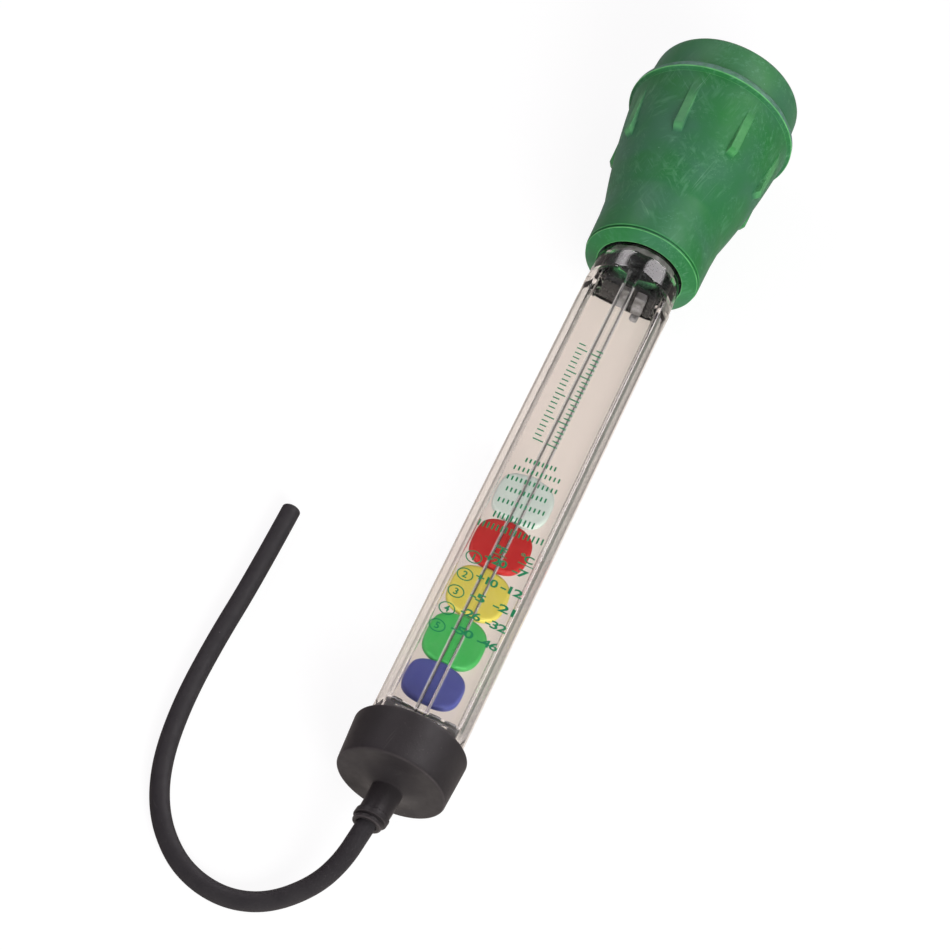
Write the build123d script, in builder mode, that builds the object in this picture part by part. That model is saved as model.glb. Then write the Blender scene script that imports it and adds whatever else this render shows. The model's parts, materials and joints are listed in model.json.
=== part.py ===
from build123d import *
from math import asin, atan2, cos, degrees, hypot, pi, radians, sin, tan
import os

# A float-disc antifreeze tester lying on its side on a flat surface, z = 0.
# Lengths are in millimetres. +Z is up and +X runs from the cap to the bulb.
# A name ending in _at is a place along the tool, counted from the cap's bottom face.
# The origin is on the surface, under the middle of the rigid tool.

overrun = 1.0  # how far a cut runs past the faces that it opens

# End cap: a rubber cup with a stem that grips the suction hose
cap_foot_wall = 2.5  # at the bottom face, over the barrel's radius
cap_rim_wall = 3.4
cap_length = 16.2
cap_floor = 3.2
cap_edge = 0.7
stem_wall = 0.9
stem_length = 13.4
stem_rim_height = 0.6
stem_rim_length = 3.4
stem_groove_width = 0.7
stem_groove_depth = 0.45
stem_edge = 0.3
stem_fillet = 0.8
stem_socket_depth = 9.0

# Suction hose
hose_radius = 3.15
hose_bore_radius = 2.0
hose_clearance = 0.1
hose_first_run = 13.7
hose_arc_share = 0.45  # of the shorter run, on each side of a corner
hose_points = [  # counted along X from the cap's bottom face
    (-28.7, 3.0, 13.6),
    (-37.2, 7.5, 8.2),
    (-46.2, 17.0, 4.2),
    (-50.7, 28.0, 3.2),
    (-50.2, 39.5, 3.2),
    (-45.2, 50.0, 3.2),
    (-34.2, 60.0, 3.2),
    (-18.2, 66.5, 3.2),
    (3.8, 69.5, 3.2),
    (28.8, 69.7, 3.2),
    (55.8, 68.5, 3.2),
    (85.7, 68.5, 3.2),
]

# Barrel: a clear moulding with a flat at the front and one at the back
barrel_radius = 15.5
barrel_clearance = 0.05  # in the cap, and of the bulb on the neck
barrel_flats_gap = 22.0  # across the two flats
barrel_wall = 3.3  # at the flats and at the sides
barrel_round_foot = 4.4  # round stretch between the cap and the flats
barrel_flats_length = 182.6
barrel_flat_ramp = 4.0  # length of the slope at each end of a flat
barrel_collar_length = 13.6  # round stretch past the flats
barrel_neck_step = 2.1  # from the collar in to the neck
barrel_shoulder_land = 0.1  # flat ring inside the rounded shoulder
barrel_neck_length = 23.0
barrel_neck_wall = 2.2
barrel_edge = 0.6
cavity_corner = 3.0
rib_width = 3.4
rib_depth = 2.0
throat_wall = 4.0  # from the cavity's end to the shoulder

# Float stops: slotted black mouldings that keep the discs in the barrel
stop_clearance = 0.2
stop_flange_length = 1.6
lower_plug_length = 22.2
lower_plug_roof = 2.0
lower_well_radius = 5.4
lower_inlet_radius = 2.4
strainer_hole_radius = 0.75
strainer_circle_radius = 4.2
strainer_hole_count = 8
stop_cross_height = 3.0
stop_cross_width = 1.6
stop_cross_span = 19.0
upper_plug_length = 5.0
upper_leg_length = 7.6
upper_leg_width = 4.8
upper_bore_radius = 6.2
upper_spigot_length = 13.0
upper_spigot_wall = 2.6
stop_edge = 0.4

# Float discs, lying in a row on the barrel's back wall
disc_play = 2.7  # from a disc in the middle to either side of the cavity
disc_thickness = 3.2
disc_edge = 1.2
disc_gap = 0.3  # from disc to disc, and from disc to stop
disc_lift = 0.3  # off the back wall
disc_side_share = 0.6  # how much of the play the row has taken up to one side
disc_colours = ["blue", "green", "yellow", "red", "clear"]  # from the cap up

# Squeeze bulb: hollow rubber with a lip, a neck, a fluted cone and a beaded crown
lip_wall = 5.5
lip_flare = 1.45  # the mouth's clearance round the neck, over the bore's
lip_length = 2.0
lip_edge = 0.7
lip_gap = 0.4  # from the barrel's shoulder to the lip's face
lip_groove_depth = 0.5
lip_groove_length = 0.9
lip_funnel = 4.0  # the mouth narrows over this length to the bore that grips the neck
bulb_neck_swell = 0.3  # out from the lip
bulb_waist_swell = 1.1
bulb_neck_run = 21.5  # from the lip's face to the waist
cone_length = 46.5
cone_radius = 28.9
cone_bulge = 0.9  # how far the cone's side stands out from straight
bead_height = 1.5
bead_length = 4.6
bead_edge = 0.9
bead_step = 1.0  # a ledge under the bead, as long as it is high
crown_step = 2.8  # in from the bead
crown_taper = 0.9
crown_length = 15.6
crown_edge = 3.0
bulb_wall = 2.8
bulb_neck_wall = 3.4
bulb_ledge_lap = 1.8  # how far the ledge reaches over the barrel's end
bulb_ledge_length = 2.0
fin_count = 8
fin_first_angle = -20.0  # degrees from straight up
fin_foot_width = 2.9
fin_head_width = 1.8
fin_length = 22.0
fin_start_run = 3.0  # from the fin's top to the bead
fin_foot_drop = 1.0  # in from the cone's largest radius
fin_head_rise = 0.1
fin_edge = 0.5
fin_root = 2.0  # how deep a fin reaches into the wall

# Sizes that follow from what a piece fits in or on
barrel_neck_radius = barrel_radius - barrel_neck_step
barrel_shoulder = barrel_neck_step - barrel_shoulder_land
cavity_width = 2 * (barrel_radius - barrel_wall)
cavity_height = barrel_flats_gap - 2 * barrel_wall
neck_bore_radius = barrel_neck_radius - barrel_neck_wall
cap_radius = barrel_radius + cap_foot_wall
cap_rim_radius = barrel_radius + cap_rim_wall
socket_radius = hose_radius + hose_clearance
stem_radius = socket_radius + stem_wall
stem_rim_radius = stem_radius + stem_rim_height
stop_flange_radius = barrel_radius - stop_clearance
disc_radius = cavity_width / 2 - disc_play
disc_side = disc_side_share * disc_play
bulb_bore_radius = barrel_neck_radius + barrel_clearance
lip_hole_radius = bulb_bore_radius + lip_flare
lip_radius = lip_hole_radius + lip_wall
bulb_neck_radius = lip_radius + bulb_neck_swell
bulb_waist_radius = lip_radius + bulb_waist_swell
bulb_ledge_radius = barrel_neck_radius - bulb_ledge_lap
bead_radius = cone_radius + bead_height
crown_foot_radius = bead_radius - crown_step
crown_radius = crown_foot_radius - crown_taper
fin_foot_radius = cone_radius - fin_foot_drop
fin_head_radius = cone_radius + fin_head_rise

# Places along the tool that follow from the sizes
stop_seat_at = cap_floor + stop_flange_length
barrel_foot_at = stop_seat_at
lower_plug_end_at = stop_seat_at + lower_plug_length
flats_start_at = cap_length + barrel_round_foot
flats_end_at = flats_start_at + barrel_flats_length
shoulder_at = flats_end_at + barrel_collar_length
neck_at = shoulder_at + barrel_shoulder
neck_end_at = neck_at + barrel_neck_length
cavity_end_at = shoulder_at - throat_wall
lower_stop_at = lower_plug_end_at + stop_cross_height
upper_stop_at = cavity_end_at - stop_clearance - upper_plug_length - upper_leg_length
lip_at = neck_at + lip_gap
waist_at = lip_at + bulb_neck_run
bead_at = waist_at + cone_length
crown_at = bead_at + bead_length
bulb_end_at = crown_at + crown_length
hose_seat_at = stem_socket_depth - stem_length

# The tool rests on the cap's rim and the bulb's bead, so its axis climbs by this angle
rest_run = (crown_at - bead_edge) - (cap_length - cap_edge)
rest_rise = (bead_radius - bead_edge) - (cap_rim_radius - cap_edge)
pitch = atan2(rest_rise, rest_run) + asin((bead_edge - cap_edge) / hypot(rest_run, rest_rise))

# Where the cap's bottom centre lies, so that the rigid tool is centred over the origin
nose_reach = (stem_length - stem_edge) * cos(pitch) + (stem_rim_radius - stem_edge) * sin(pitch) + stem_edge
tail_reach = (bulb_end_at - crown_edge) * cos(pitch) + (crown_radius - crown_edge) * sin(pitch) + crown_edge
cap_x = (nose_reach - tail_reach) / 2
cap_z = (cap_rim_radius - cap_edge) * cos(pitch) + cap_edge - (cap_length - cap_edge) * sin(pitch)

axis_way = Vector(cos(pitch), 0, sin(pitch))
foot = Vector(cap_x, 0, cap_z)
tool_axis = Axis(foot, axis_way)


def on_axis(place):
    """The point at a place along the tool's axis."""
    return foot + axis_way * place


def across(place):
    """The plane square to the axis at a place: x is +Y, and y points up from the flats."""
    return Plane(origin=on_axis(place), x_dir=(0, 1, 0), z_dir=axis_way)


# The plane through the axis: x is the place along the tool, and y is the height above the axis
section = Plane(origin=foot, x_dir=axis_way, z_dir=(0, -1, 0))


def round_corner(sketch, place, height, radius):
    """Round the corner of a section sketch that lies at a place and a height."""
    fillet(sketch.vertices().sort_by_distance((place, height))[0], radius)


# End cap
pocket_radius = barrel_radius + barrel_clearance
stem_rim_at = stem_rim_length - stem_length
groove_start_at = stem_rim_at - (stem_rim_length + stem_groove_width) / 2
groove_end_at = groove_start_at + stem_groove_width
with BuildPart() as end_cap:
    with BuildSketch(section) as profile:
        with BuildLine():
            Polyline(
                (-stem_length, socket_radius),
                (-stem_length, stem_rim_radius),
                (groove_start_at, stem_rim_radius),
                (groove_start_at, stem_rim_radius - stem_groove_depth),
                (groove_end_at, stem_rim_radius - stem_groove_depth),
                (groove_end_at, stem_rim_radius),
                (stem_rim_at, stem_rim_radius),
                (stem_rim_at, stem_radius),
                (0, stem_radius),
                (0, cap_radius),
                (cap_length, cap_rim_radius),
                (cap_length, pocket_radius),
                (cap_floor, pocket_radius),
                (cap_floor, hose_bore_radius),
                (hose_seat_at, hose_bore_radius),
                (hose_seat_at, socket_radius),
                close=True,
            )
        make_face()
        round_corner(profile, -stem_length, stem_rim_radius, stem_edge)
        round_corner(profile, stem_rim_at, stem_rim_radius, stem_edge)
        round_corner(profile, 0, stem_radius, stem_fillet)
        round_corner(profile, 0, cap_radius, cap_edge)
        round_corner(profile, cap_length, cap_rim_radius, cap_edge)
    revolve(axis=tool_axis)
end_cap.part.label = "end_cap"

# Barrel: a round bar, flattened front and back, with a flat cavity that opens into the neck's bore
flat_height = barrel_flats_gap / 2
clear_height = barrel_radius + overrun
with BuildPart() as barrel:
    with BuildSketch(section) as profile:
        with BuildLine():
            Polyline(
                (barrel_foot_at, 0),
                (barrel_foot_at, barrel_radius),
                (neck_at, barrel_radius),
                (neck_at, barrel_neck_radius),
                (neck_end_at, barrel_neck_radius),
                (neck_end_at, 0),
                close=True,
            )
        make_face()
        round_corner(profile, barrel_foot_at, barrel_radius, barrel_edge)
        round_corner(profile, neck_at, barrel_radius, barrel_shoulder)
        round_corner(profile, neck_end_at, barrel_neck_radius, barrel_edge)
    revolve(axis=tool_axis)
    for side in (1, -1):
        with BuildSketch(section) as notch:
            with BuildLine():
                Polyline(
                    (flats_start_at - barrel_flat_ramp, side * clear_height),
                    (flats_start_at, side * flat_height),
                    (flats_end_at, side * flat_height),
                    (flats_end_at + barrel_flat_ramp, side * clear_height),
                    close=True,
                )
            make_face()
            round_corner(notch, flats_start_at, side * flat_height, barrel_flat_ramp)
            round_corner(notch, flats_end_at, side * flat_height, barrel_flat_ramp)
        extrude(amount=clear_height, both=True, mode=Mode.SUBTRACT)
    with BuildSketch(across(barrel_foot_at - overrun)):
        RectangleRounded(cavity_width, cavity_height, cavity_corner)
    extrude(amount=cavity_end_at - barrel_foot_at + overrun, mode=Mode.SUBTRACT)
    with BuildSketch(across(cavity_end_at)):
        Circle(neck_bore_radius)
    extrude(amount=neck_end_at - cavity_end_at + overrun, mode=Mode.SUBTRACT)
    with BuildSketch(across(barrel_foot_at)):
        with Locations((0, (cavity_height - rib_depth) / 2)):
            Rectangle(rib_width, rib_depth)
    extrude(amount=cavity_end_at - barrel_foot_at)
barrel.part.label = "barrel"

# Both float stops have this plug, with a slot for the barrel's rib
plug_width = cavity_width - 2 * stop_clearance
plug_height = cavity_height - 2 * stop_clearance
plug_corner = cavity_corner - stop_clearance
slot_width = rib_width + 2 * stop_clearance
slot_depth = rib_depth + stop_clearance


def draw_plug():
    """Draw the float stops' cross-section in the sketch that is being made."""
    RectangleRounded(plug_width, plug_height, plug_corner)
    with Locations((0, (plug_height - slot_depth) / 2)):
        Rectangle(slot_width, slot_depth, mode=Mode.SUBTRACT)


# Lower float stop: a strainer over the stem's bore, with a cross that the lowest disc lies against
with BuildPart() as lower_stop:
    with BuildSketch(across(cap_floor)):
        Circle(stop_flange_radius)
    extrude(amount=stop_flange_length)
    with BuildSketch(across(stop_seat_at)):
        draw_plug()
    extrude(amount=lower_plug_length)
    chamfer(lower_stop.faces().sort_by(tool_axis)[-1].outer_wire().edges(), stop_edge)
    with BuildSketch(across(lower_plug_end_at)):
        Rectangle(stop_cross_span, stop_cross_width)
        with Locations((0, -slot_depth / 2)):
            Rectangle(stop_cross_width, plug_height - slot_depth - 2 * stop_edge)
    extrude(amount=stop_cross_height)
    with BuildSketch(across(cap_floor - overrun)):
        Circle(lower_inlet_radius)
    extrude(amount=stop_flange_length + overrun, mode=Mode.SUBTRACT)
    with BuildSketch(across(stop_seat_at)):
        Circle(lower_well_radius)
    extrude(amount=lower_plug_length - lower_plug_roof, mode=Mode.SUBTRACT)
    with BuildSketch(across(lower_plug_end_at - lower_plug_roof - overrun)):
        with PolarLocations(strainer_circle_radius, strainer_hole_count, start_angle=180 / strainer_hole_count):
            Circle(strainer_hole_radius)
    extrude(amount=lower_plug_roof + 2 * overrun, mode=Mode.SUBTRACT)
lower_stop.part.label = "lower_float_stop"

# Upper float stop: a plug with two legs below it and a round spigot in the neck's bore
upper_plug_at = upper_stop_at + upper_leg_length
upper_spigot_at = upper_plug_at + upper_plug_length
spigot_radius = neck_bore_radius - stop_clearance
with BuildPart() as upper_stop:
    with BuildSketch(across(upper_plug_at)):
        draw_plug()
    extrude(amount=upper_plug_length)
    with BuildSketch(across(upper_stop_at)):
        RectangleRounded(plug_width, plug_height, plug_corner)
        Rectangle(plug_width - 2 * upper_leg_width, plug_height, mode=Mode.SUBTRACT)
    extrude(amount=upper_leg_length)
    with BuildSketch(across(upper_spigot_at)):
        draw_plug()
        Circle(spigot_radius, mode=Mode.INTERSECT)
    extrude(amount=2 * stop_clearance)
    with BuildSketch(across(upper_spigot_at + 2 * stop_clearance)):
        Circle(spigot_radius)
    extrude(amount=upper_spigot_length)
    with BuildSketch(across(upper_spigot_at + 2 * stop_clearance)):
        Circle(spigot_radius - upper_spigot_wall)
    extrude(amount=upper_spigot_length + overrun, mode=Mode.SUBTRACT)
    with BuildSketch(across(upper_plug_at - overrun)):
        Circle(upper_bore_radius)
    extrude(amount=upper_plug_length + 2 * overrun, mode=Mode.SUBTRACT)
upper_stop.part.label = "upper_float_stop"

# Float discs, each a flat button with rounded edges
disc_pitch = 2 * disc_radius + disc_gap
disc_height = disc_lift - cavity_height / 2
first_disc_at = lower_stop_at + disc_gap + disc_radius
discs = []
for index, colour in enumerate(disc_colours):
    disc_plane = Plane(
        origin=on_axis(first_disc_at + index * disc_pitch),
        x_dir=axis_way,
        z_dir=section.y_dir,
    )
    with BuildPart() as disc:
        with BuildSketch(disc_plane.offset(disc_height)):
            with Locations((0, disc_side)):
                Circle(disc_radius)
        extrude(amount=disc_thickness)
        fillet(disc.edges().filter_by(GeomType.CIRCLE), disc_edge)
    disc.part.label = "float_disc_" + colour
    discs.append(disc.part)
slack = upper_stop_at - lower_stop_at - disc_gap - len(disc_colours) * disc_pitch
disc_travel = slack / len(disc_colours)

# One fin of the bulb, which narrows towards the bead and sinks into the cone as it climbs
fin_head_at = bead_at - fin_start_run
fin_foot_at = fin_head_at - fin_length
with BuildPart() as fin:
    with BuildSketch(section) as fin_side:
        with BuildLine():
            Polyline(
                (fin_foot_at, fin_foot_radius),
                (fin_head_at, fin_head_radius),
                (fin_head_at, fin_head_radius - fin_root),
                (fin_foot_at, fin_foot_radius - 2 * fin_root),
                close=True,
            )
        make_face()
        round_corner(fin_side, fin_foot_at, fin_foot_radius, fin_edge)
    extrude(amount=fin_foot_width / 2, both=True)
    with BuildSketch(Plane(origin=foot, x_dir=axis_way, z_dir=section.y_dir)):
        with BuildLine():
            Polyline(
                (fin_foot_at, fin_foot_width / 2),
                (fin_head_at, fin_head_width / 2),
                (fin_head_at, -fin_head_width / 2),
                (fin_foot_at, -fin_foot_width / 2),
                close=True,
            )
        make_face()
    extrude(amount=fin_head_radius + overrun, mode=Mode.INTERSECT)

# Squeeze bulb: a shell turned about the axis, with fins on its cone
ledge_at = neck_end_at + barrel_clearance
chamber_at = ledge_at + bulb_ledge_length
lip_groove_at = lip_at + lip_length
lip_groove_end_at = lip_groove_at + lip_groove_length
chamber_neck_radius = bulb_waist_radius - bulb_neck_wall
chamber_cone_radius = cone_radius - bulb_wall
chamber_crown_radius = crown_radius - bulb_wall
chamber_waist_at = waist_at + bulb_neck_wall
chamber_end_at = bulb_end_at - bulb_wall
with BuildPart() as bulb:
    with BuildSketch(section) as profile:
        with BuildLine():
            Polyline(
                (bead_at, cone_radius),
                (bead_at, bead_radius - bead_step),
                (bead_at + bead_step, bead_radius - bead_step),
                (bead_at + bead_step, bead_radius),
                (crown_at, bead_radius),
                (crown_at, crown_foot_radius),
                (bulb_end_at, crown_radius),
                (bulb_end_at, 0),
                (chamber_end_at, 0),
                (chamber_end_at, chamber_crown_radius),
                (bead_at, chamber_cone_radius),
                (chamber_waist_at, chamber_neck_radius),
                (chamber_at, bulb_ledge_radius),
                (ledge_at, bulb_ledge_radius),
                (ledge_at, bulb_bore_radius),
                (lip_at + lip_funnel, bulb_bore_radius),
                (lip_at, lip_hole_radius),
                (lip_at, lip_radius),
                (lip_groove_at, lip_radius),
                (lip_groove_at, lip_radius - lip_groove_depth),
                (lip_groove_end_at, lip_radius - lip_groove_depth),
                (lip_groove_end_at, bulb_neck_radius),
                (waist_at, bulb_waist_radius),
            )
            SagittaArc((waist_at, bulb_waist_radius), (bead_at, cone_radius), cone_bulge)
        make_face()
        round_corner(profile, lip_at, lip_radius, lip_edge)
        round_corner(profile, bead_at + bead_step, bead_radius, bead_edge)
        round_corner(profile, crown_at, bead_radius, bead_edge)
        round_corner(profile, crown_at, crown_foot_radius, bead_edge)
        round_corner(profile, bulb_end_at, crown_radius, crown_edge)
        round_corner(profile, chamber_end_at, chamber_crown_radius, crown_edge)
    revolve(axis=tool_axis)
    for index in range(fin_count):
        add(fin.part.rotate(tool_axis, fin_first_angle + index * 360 / fin_count))
bulb.part.label = "squeeze_bulb"

# Suction hose: one tube of straight runs joined by tangent arcs, from the stem's socket to its cut end
hose_start_at = hose_seat_at - hose_clearance
hose_route = [
    on_axis(hose_start_at),
    on_axis(hose_start_at - hose_first_run),
    *[Vector(cap_x + along, side, height) for along, side, height in hose_points],
]
hose_runs = [after - before for before, after in zip(hose_route, hose_route[1:])]
hose_radii = []
for before, after in zip(hose_runs, hose_runs[1:]):
    half_turn = radians(before.get_angle(after)) / 2
    hose_radii.append(hose_arc_share * min(before.length, after.length) / tan(half_turn))
with BuildPart() as suction_hose:
    with BuildLine() as hose_line:
        FilletPolyline(*hose_route, radius=hose_radii)
    with BuildSketch(Plane(origin=hose_route[0], z_dir=hose_runs[0])):
        Circle(hose_radius)
        Circle(hose_bore_radius, mode=Mode.SUBTRACT)
    sweep(path=hose_line.wire())
suction_hose.part.label = "suction_hose"

hose_length = hose_line.wire().length
hose_section = pi * (hose_radius**2 - hose_bore_radius**2)
print("hose radii", [round(radius, 1) for radius in hose_radii])
print("hose length", round(hose_length, 1), "runs", [round(run.length, 1) for run in hose_runs])
print("hose volume over section times length", round(suction_hose.part.volume / (hose_section * hose_length), 5))
print("disc travel", round(disc_travel, 2), "pitch", round(degrees(pitch), 3), "foot", foot)

os.makedirs("parts", exist_ok=True)
rigid = [end_cap.part, lower_stop.part, barrel.part, upper_stop.part, bulb.part]
for piece in [*rigid, *discs, suction_hose.part]:
    export_step(piece, f"parts/{piece.label}.step")
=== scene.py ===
"""The looks of a float-disc antifreeze tester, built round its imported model.

Sizes are in millimetres, and ToolLine turns them into metres in the model's own frame.
A place "along" is counted from the end cap's bottom face towards the squeeze bulb.
"""

import json
import logging
import math
from collections.abc import Callable, Sequence
from dataclasses import dataclass, field
from enum import Enum
from functools import cache

import bmesh
import bpy
import numpy as np
from mathutils import Matrix, Vector


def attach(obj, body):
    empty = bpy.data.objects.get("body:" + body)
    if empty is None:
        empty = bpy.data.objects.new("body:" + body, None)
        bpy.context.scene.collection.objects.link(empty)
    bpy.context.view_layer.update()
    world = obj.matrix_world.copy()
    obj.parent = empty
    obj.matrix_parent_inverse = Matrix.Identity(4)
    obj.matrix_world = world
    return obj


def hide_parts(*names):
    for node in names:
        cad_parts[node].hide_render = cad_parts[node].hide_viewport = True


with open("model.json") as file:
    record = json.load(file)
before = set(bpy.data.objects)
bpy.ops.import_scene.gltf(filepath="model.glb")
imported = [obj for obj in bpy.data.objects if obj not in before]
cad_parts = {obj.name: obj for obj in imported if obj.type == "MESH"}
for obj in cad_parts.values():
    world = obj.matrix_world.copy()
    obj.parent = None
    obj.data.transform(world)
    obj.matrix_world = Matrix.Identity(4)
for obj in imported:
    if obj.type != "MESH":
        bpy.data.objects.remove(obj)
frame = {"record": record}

MM = 0.001
BODY = "tester"
WELD_DISTANCE = 1e-7
# The edge value that rounded corners get: it lightens them, partly as wear and partly as painted highlight
PLAIN_EDGE_LIGHT_AND_WEAR = 0.5
log = logging.getLogger("tester")

Colour = tuple[float, float, float, float]
Row = tuple[float, ...]
Figure = tuple[str, float, float, float]


class Shine(Enum):
    """How a finish sends light back."""

    RUBBER = "rubber"
    PLASTIC = "plastic"
    CLEAR = "clear"

    @property
    def index(self) -> float:
        """How strongly the finish bends light: clear acrylic's index, or a plain one."""
        return 1.49 if self is Shine.CLEAR else 1.5


# Places and surfaces


@dataclass(frozen=True)
class ToolLine:
    """The tester's axis, which places everything that is turned or laid out along the tool."""

    foot: np.ndarray
    way: np.ndarray
    up: np.ndarray

    LENGTH = 307.4

    @classmethod
    def from_record(cls, record: dict) -> "ToolLine":
        """Read the axis from the mount on the bulb's end.

        Args:
            record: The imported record.

        Returns:
            The axis through the cap's bottom centre.
        """
        end = next(mount for mount in record["mounts"] if mount["name"] == "bulb_end")
        way = np.array(end["axis"], float)
        way /= np.linalg.norm(way)
        up = np.array([-way[2], 0.0, way[0]])
        return cls(np.array(end["pos_m"], float) - way * cls.LENGTH * MM, way, up)

    def place(self, along: np.ndarray, side: np.ndarray, height: np.ndarray) -> np.ndarray:
        """Turn places in the tool's own directions into points in the frame.

        Args:
            along: Millimetres along the tool.
            side: Millimetres to the +Y side.
            height: Millimetres above the axis, square to it.

        Returns:
            Points in metres, one row each.
        """
        along, side, height = np.broadcast_arrays(along, side, height)
        sideways = np.array([0.0, 1.0, 0.0])
        local = along[..., None] * self.way + side[..., None] * sideways + height[..., None] * self.up
        return self.foot + MM * local

    def matrix(self, along: float, side: float, height: float) -> Matrix:
        """The place of something flat that lies on the tool, read with the bulb at its top.

        Args:
            along: Millimetres along the tool.
            side: Millimetres to the +Y side.
            height: Millimetres above the axis.

        Returns:
            A matrix whose x runs to the -Y side and whose y runs along the tool.
        """
        right = Vector((0.0, -1.0, 0.0))
        turned = Matrix((right, Vector(self.way), Vector(self.up))).transposed()
        centre = self.place(np.array(along), np.array(side), np.array(height))
        return Matrix.LocRotScale(Vector(centre), turned, None)


def linked(name: str, data: bpy.types.ID) -> bpy.types.Object:
    """Make an object and put it in the scene.

    Args:
        name: The object's name.
        data: Its mesh, curve, lamp or camera.

    Returns:
        The object.
    """
    piece = bpy.data.objects.new(name, data)
    bpy.context.scene.collection.objects.link(piece)
    return piece


def smoothed(name: str, mesh: bpy.types.Mesh, sharp: float) -> bpy.types.Object:
    """Make a smooth-shaded object of a mesh.

    Args:
        name: The piece's name.
        mesh: The mesh, which holds the piece's place.
        sharp: Edges that turn by more degrees than this stay sharp.

    Returns:
        The object.
    """
    mesh.shade_smooth()
    mesh.set_sharp_from_angle(angle=math.radians(sharp))
    return linked(name, mesh)


def drawn(name: str, curve: bpy.types.Curve) -> tuple[bpy.types.Mesh, np.ndarray]:
    """Turn a curve or a text into a mesh.

    Args:
        name: The name of the object that holds the curve meanwhile.
        curve: The curve or the text.

    Returns:
        The mesh and its points.
    """
    holder = linked(name, curve)
    bpy.context.view_layer.update()
    evaluated = holder.evaluated_get(bpy.context.evaluated_depsgraph_get())
    mesh = bpy.data.meshes.new_from_object(evaluated)
    bpy.data.objects.remove(holder)
    points = np.zeros(len(mesh.vertices) * 3, np.float32)
    mesh.vertices.foreach_get("co", points)
    return mesh, points.reshape(-1, 3)


@dataclass
class Surface:
    """Points in metres, faces as rows of point numbers, and values that materials read."""

    points: np.ndarray
    faces: list
    values: dict[str, np.ndarray] = field(default_factory=dict)

    def joined(self, other: "Surface") -> "Surface":
        """Make one surface of this one and another.

        Args:
            other: The other surface.

        Returns:
            Both, where a value that one of them lacks is 0 on it.
        """
        shift = len(self.points)
        names = set(self.values) | set(other.values)
        values = {
            name: np.concatenate([
                self.values.get(name, np.zeros(len(self.points))),
                other.values.get(name, np.zeros(len(other.points))),
            ])
            for name in names
        }
        faces = self.faces + [[corner + shift for corner in face] for face in other.faces]
        return Surface(np.concatenate([self.points, other.points]), faces, values)

    def to_mesh(self, name: str) -> bpy.types.Mesh:
        """Make a mesh of the surface as it is.

        Args:
            name: The mesh's name.

        Returns:
            The mesh, which carries the surface's values.
        """
        mesh = bpy.data.meshes.new(name)
        mesh.from_pydata(self.points.tolist(), [], self.faces)
        for label, value in self.values.items():
            layer = mesh.attributes.new(label, "FLOAT", "POINT")
            layer.data.foreach_set("value", np.asarray(value, np.float32))
        return mesh

    def to_object(self, name: str, sharp: float = 40.0) -> bpy.types.Object:
        """Make a smooth-shaded object, with points that coincide merged and faces turned outwards.

        Args:
            name: The piece's name.
            sharp: Edges that turn by more degrees than this stay sharp.

        Returns:
            The object, with its place in its mesh.
        """
        mesh = self.to_mesh(name)
        work = bmesh.new()
        work.from_mesh(mesh)
        bmesh.ops.remove_doubles(work, verts=work.verts, dist=WELD_DISTANCE)
        bmesh.ops.recalc_face_normals(work, faces=work.faces)
        work.to_mesh(mesh)
        work.free()
        mesh.validate()
        return smoothed(name, mesh, sharp)


def grid_faces(rows: int, columns: int, wrap: bool) -> list:
    """Number the corners of a grid's faces.

    Args:
        rows: Points along the first direction.
        columns: Points along the second direction.
        wrap: Whether the last column joins the first.

    Returns:
        Four point numbers for each face.
    """
    across = columns if wrap else columns - 1
    row, column = np.meshgrid(np.arange(rows - 1), np.arange(across), indexing="ij")
    here, above = row * columns, (row + 1) * columns
    after = (column + 1) % columns
    corners = np.stack([here + column, here + after, above + after, above + column], axis=-1)
    return corners.reshape(-1, 4).tolist()


def rounded_path(corners: Sequence[Row], steps: int, closed: bool = False) -> np.ndarray:
    """Round a path's corners with arcs that touch both of their runs.

    An arc of radius r at a corner that turns by t starts r tan(t / 2) before the corner.

    Args:
        corners: Each corner's x, y and radius, and after them its edge value, if not
            PLAIN_EDGE_LIGHT_AND_WEAR: it lightens the edge, partly as wear and partly as painted highlight.
        steps: Points on each arc.
        closed: Whether the path runs on from its last corner to its first.

    Returns:
        The path's points, with a third column that rises to the edge value at the middle of each arc; it
        lightens the edge, as wear and as painted highlight.
    """
    spots = np.array([corner[:2] for corner in corners], float)
    rounds = [corner[2] for corner in corners]
    edge_values = [corner[3] if len(corner) > 3 else PLAIN_EDGE_LIGHT_AND_WEAR for corner in corners]
    made = []
    for index, (spot, radius, wear) in enumerate(zip(spots, rounds, edge_values)):
        at_end = not closed and index in (0, len(spots) - 1)
        if at_end or radius <= 0:
            made.append(np.array([[*spot, 0.0]]))
            continue
        before = spots[index - 1] - spot
        after = spots[(index + 1) % len(spots)] - spot
        before /= np.linalg.norm(before)
        after /= np.linalg.norm(after)
        half = math.acos(float(np.clip(before @ after, -1, 1))) / 2
        middle = (before + after) / np.linalg.norm(before + after)
        centre = spot + middle * radius / math.sin(half)
        first = spot + before * radius / math.tan(half) - centre
        last = spot + after * radius / math.tan(half) - centre
        start = math.atan2(first[1], first[0])
        turn = (math.atan2(last[1], last[0]) - start + math.pi) % (2 * math.pi) - math.pi
        angles = start + turn * np.linspace(0, 1, steps)
        worn = wear * np.sin(math.pi * np.linspace(0, 1, steps))
        across, up = radius * np.cos(angles), radius * np.sin(angles)
        made.append(np.stack([centre[0] + across, centre[1] + up, worn], axis=1))
    return np.concatenate(made)


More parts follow.
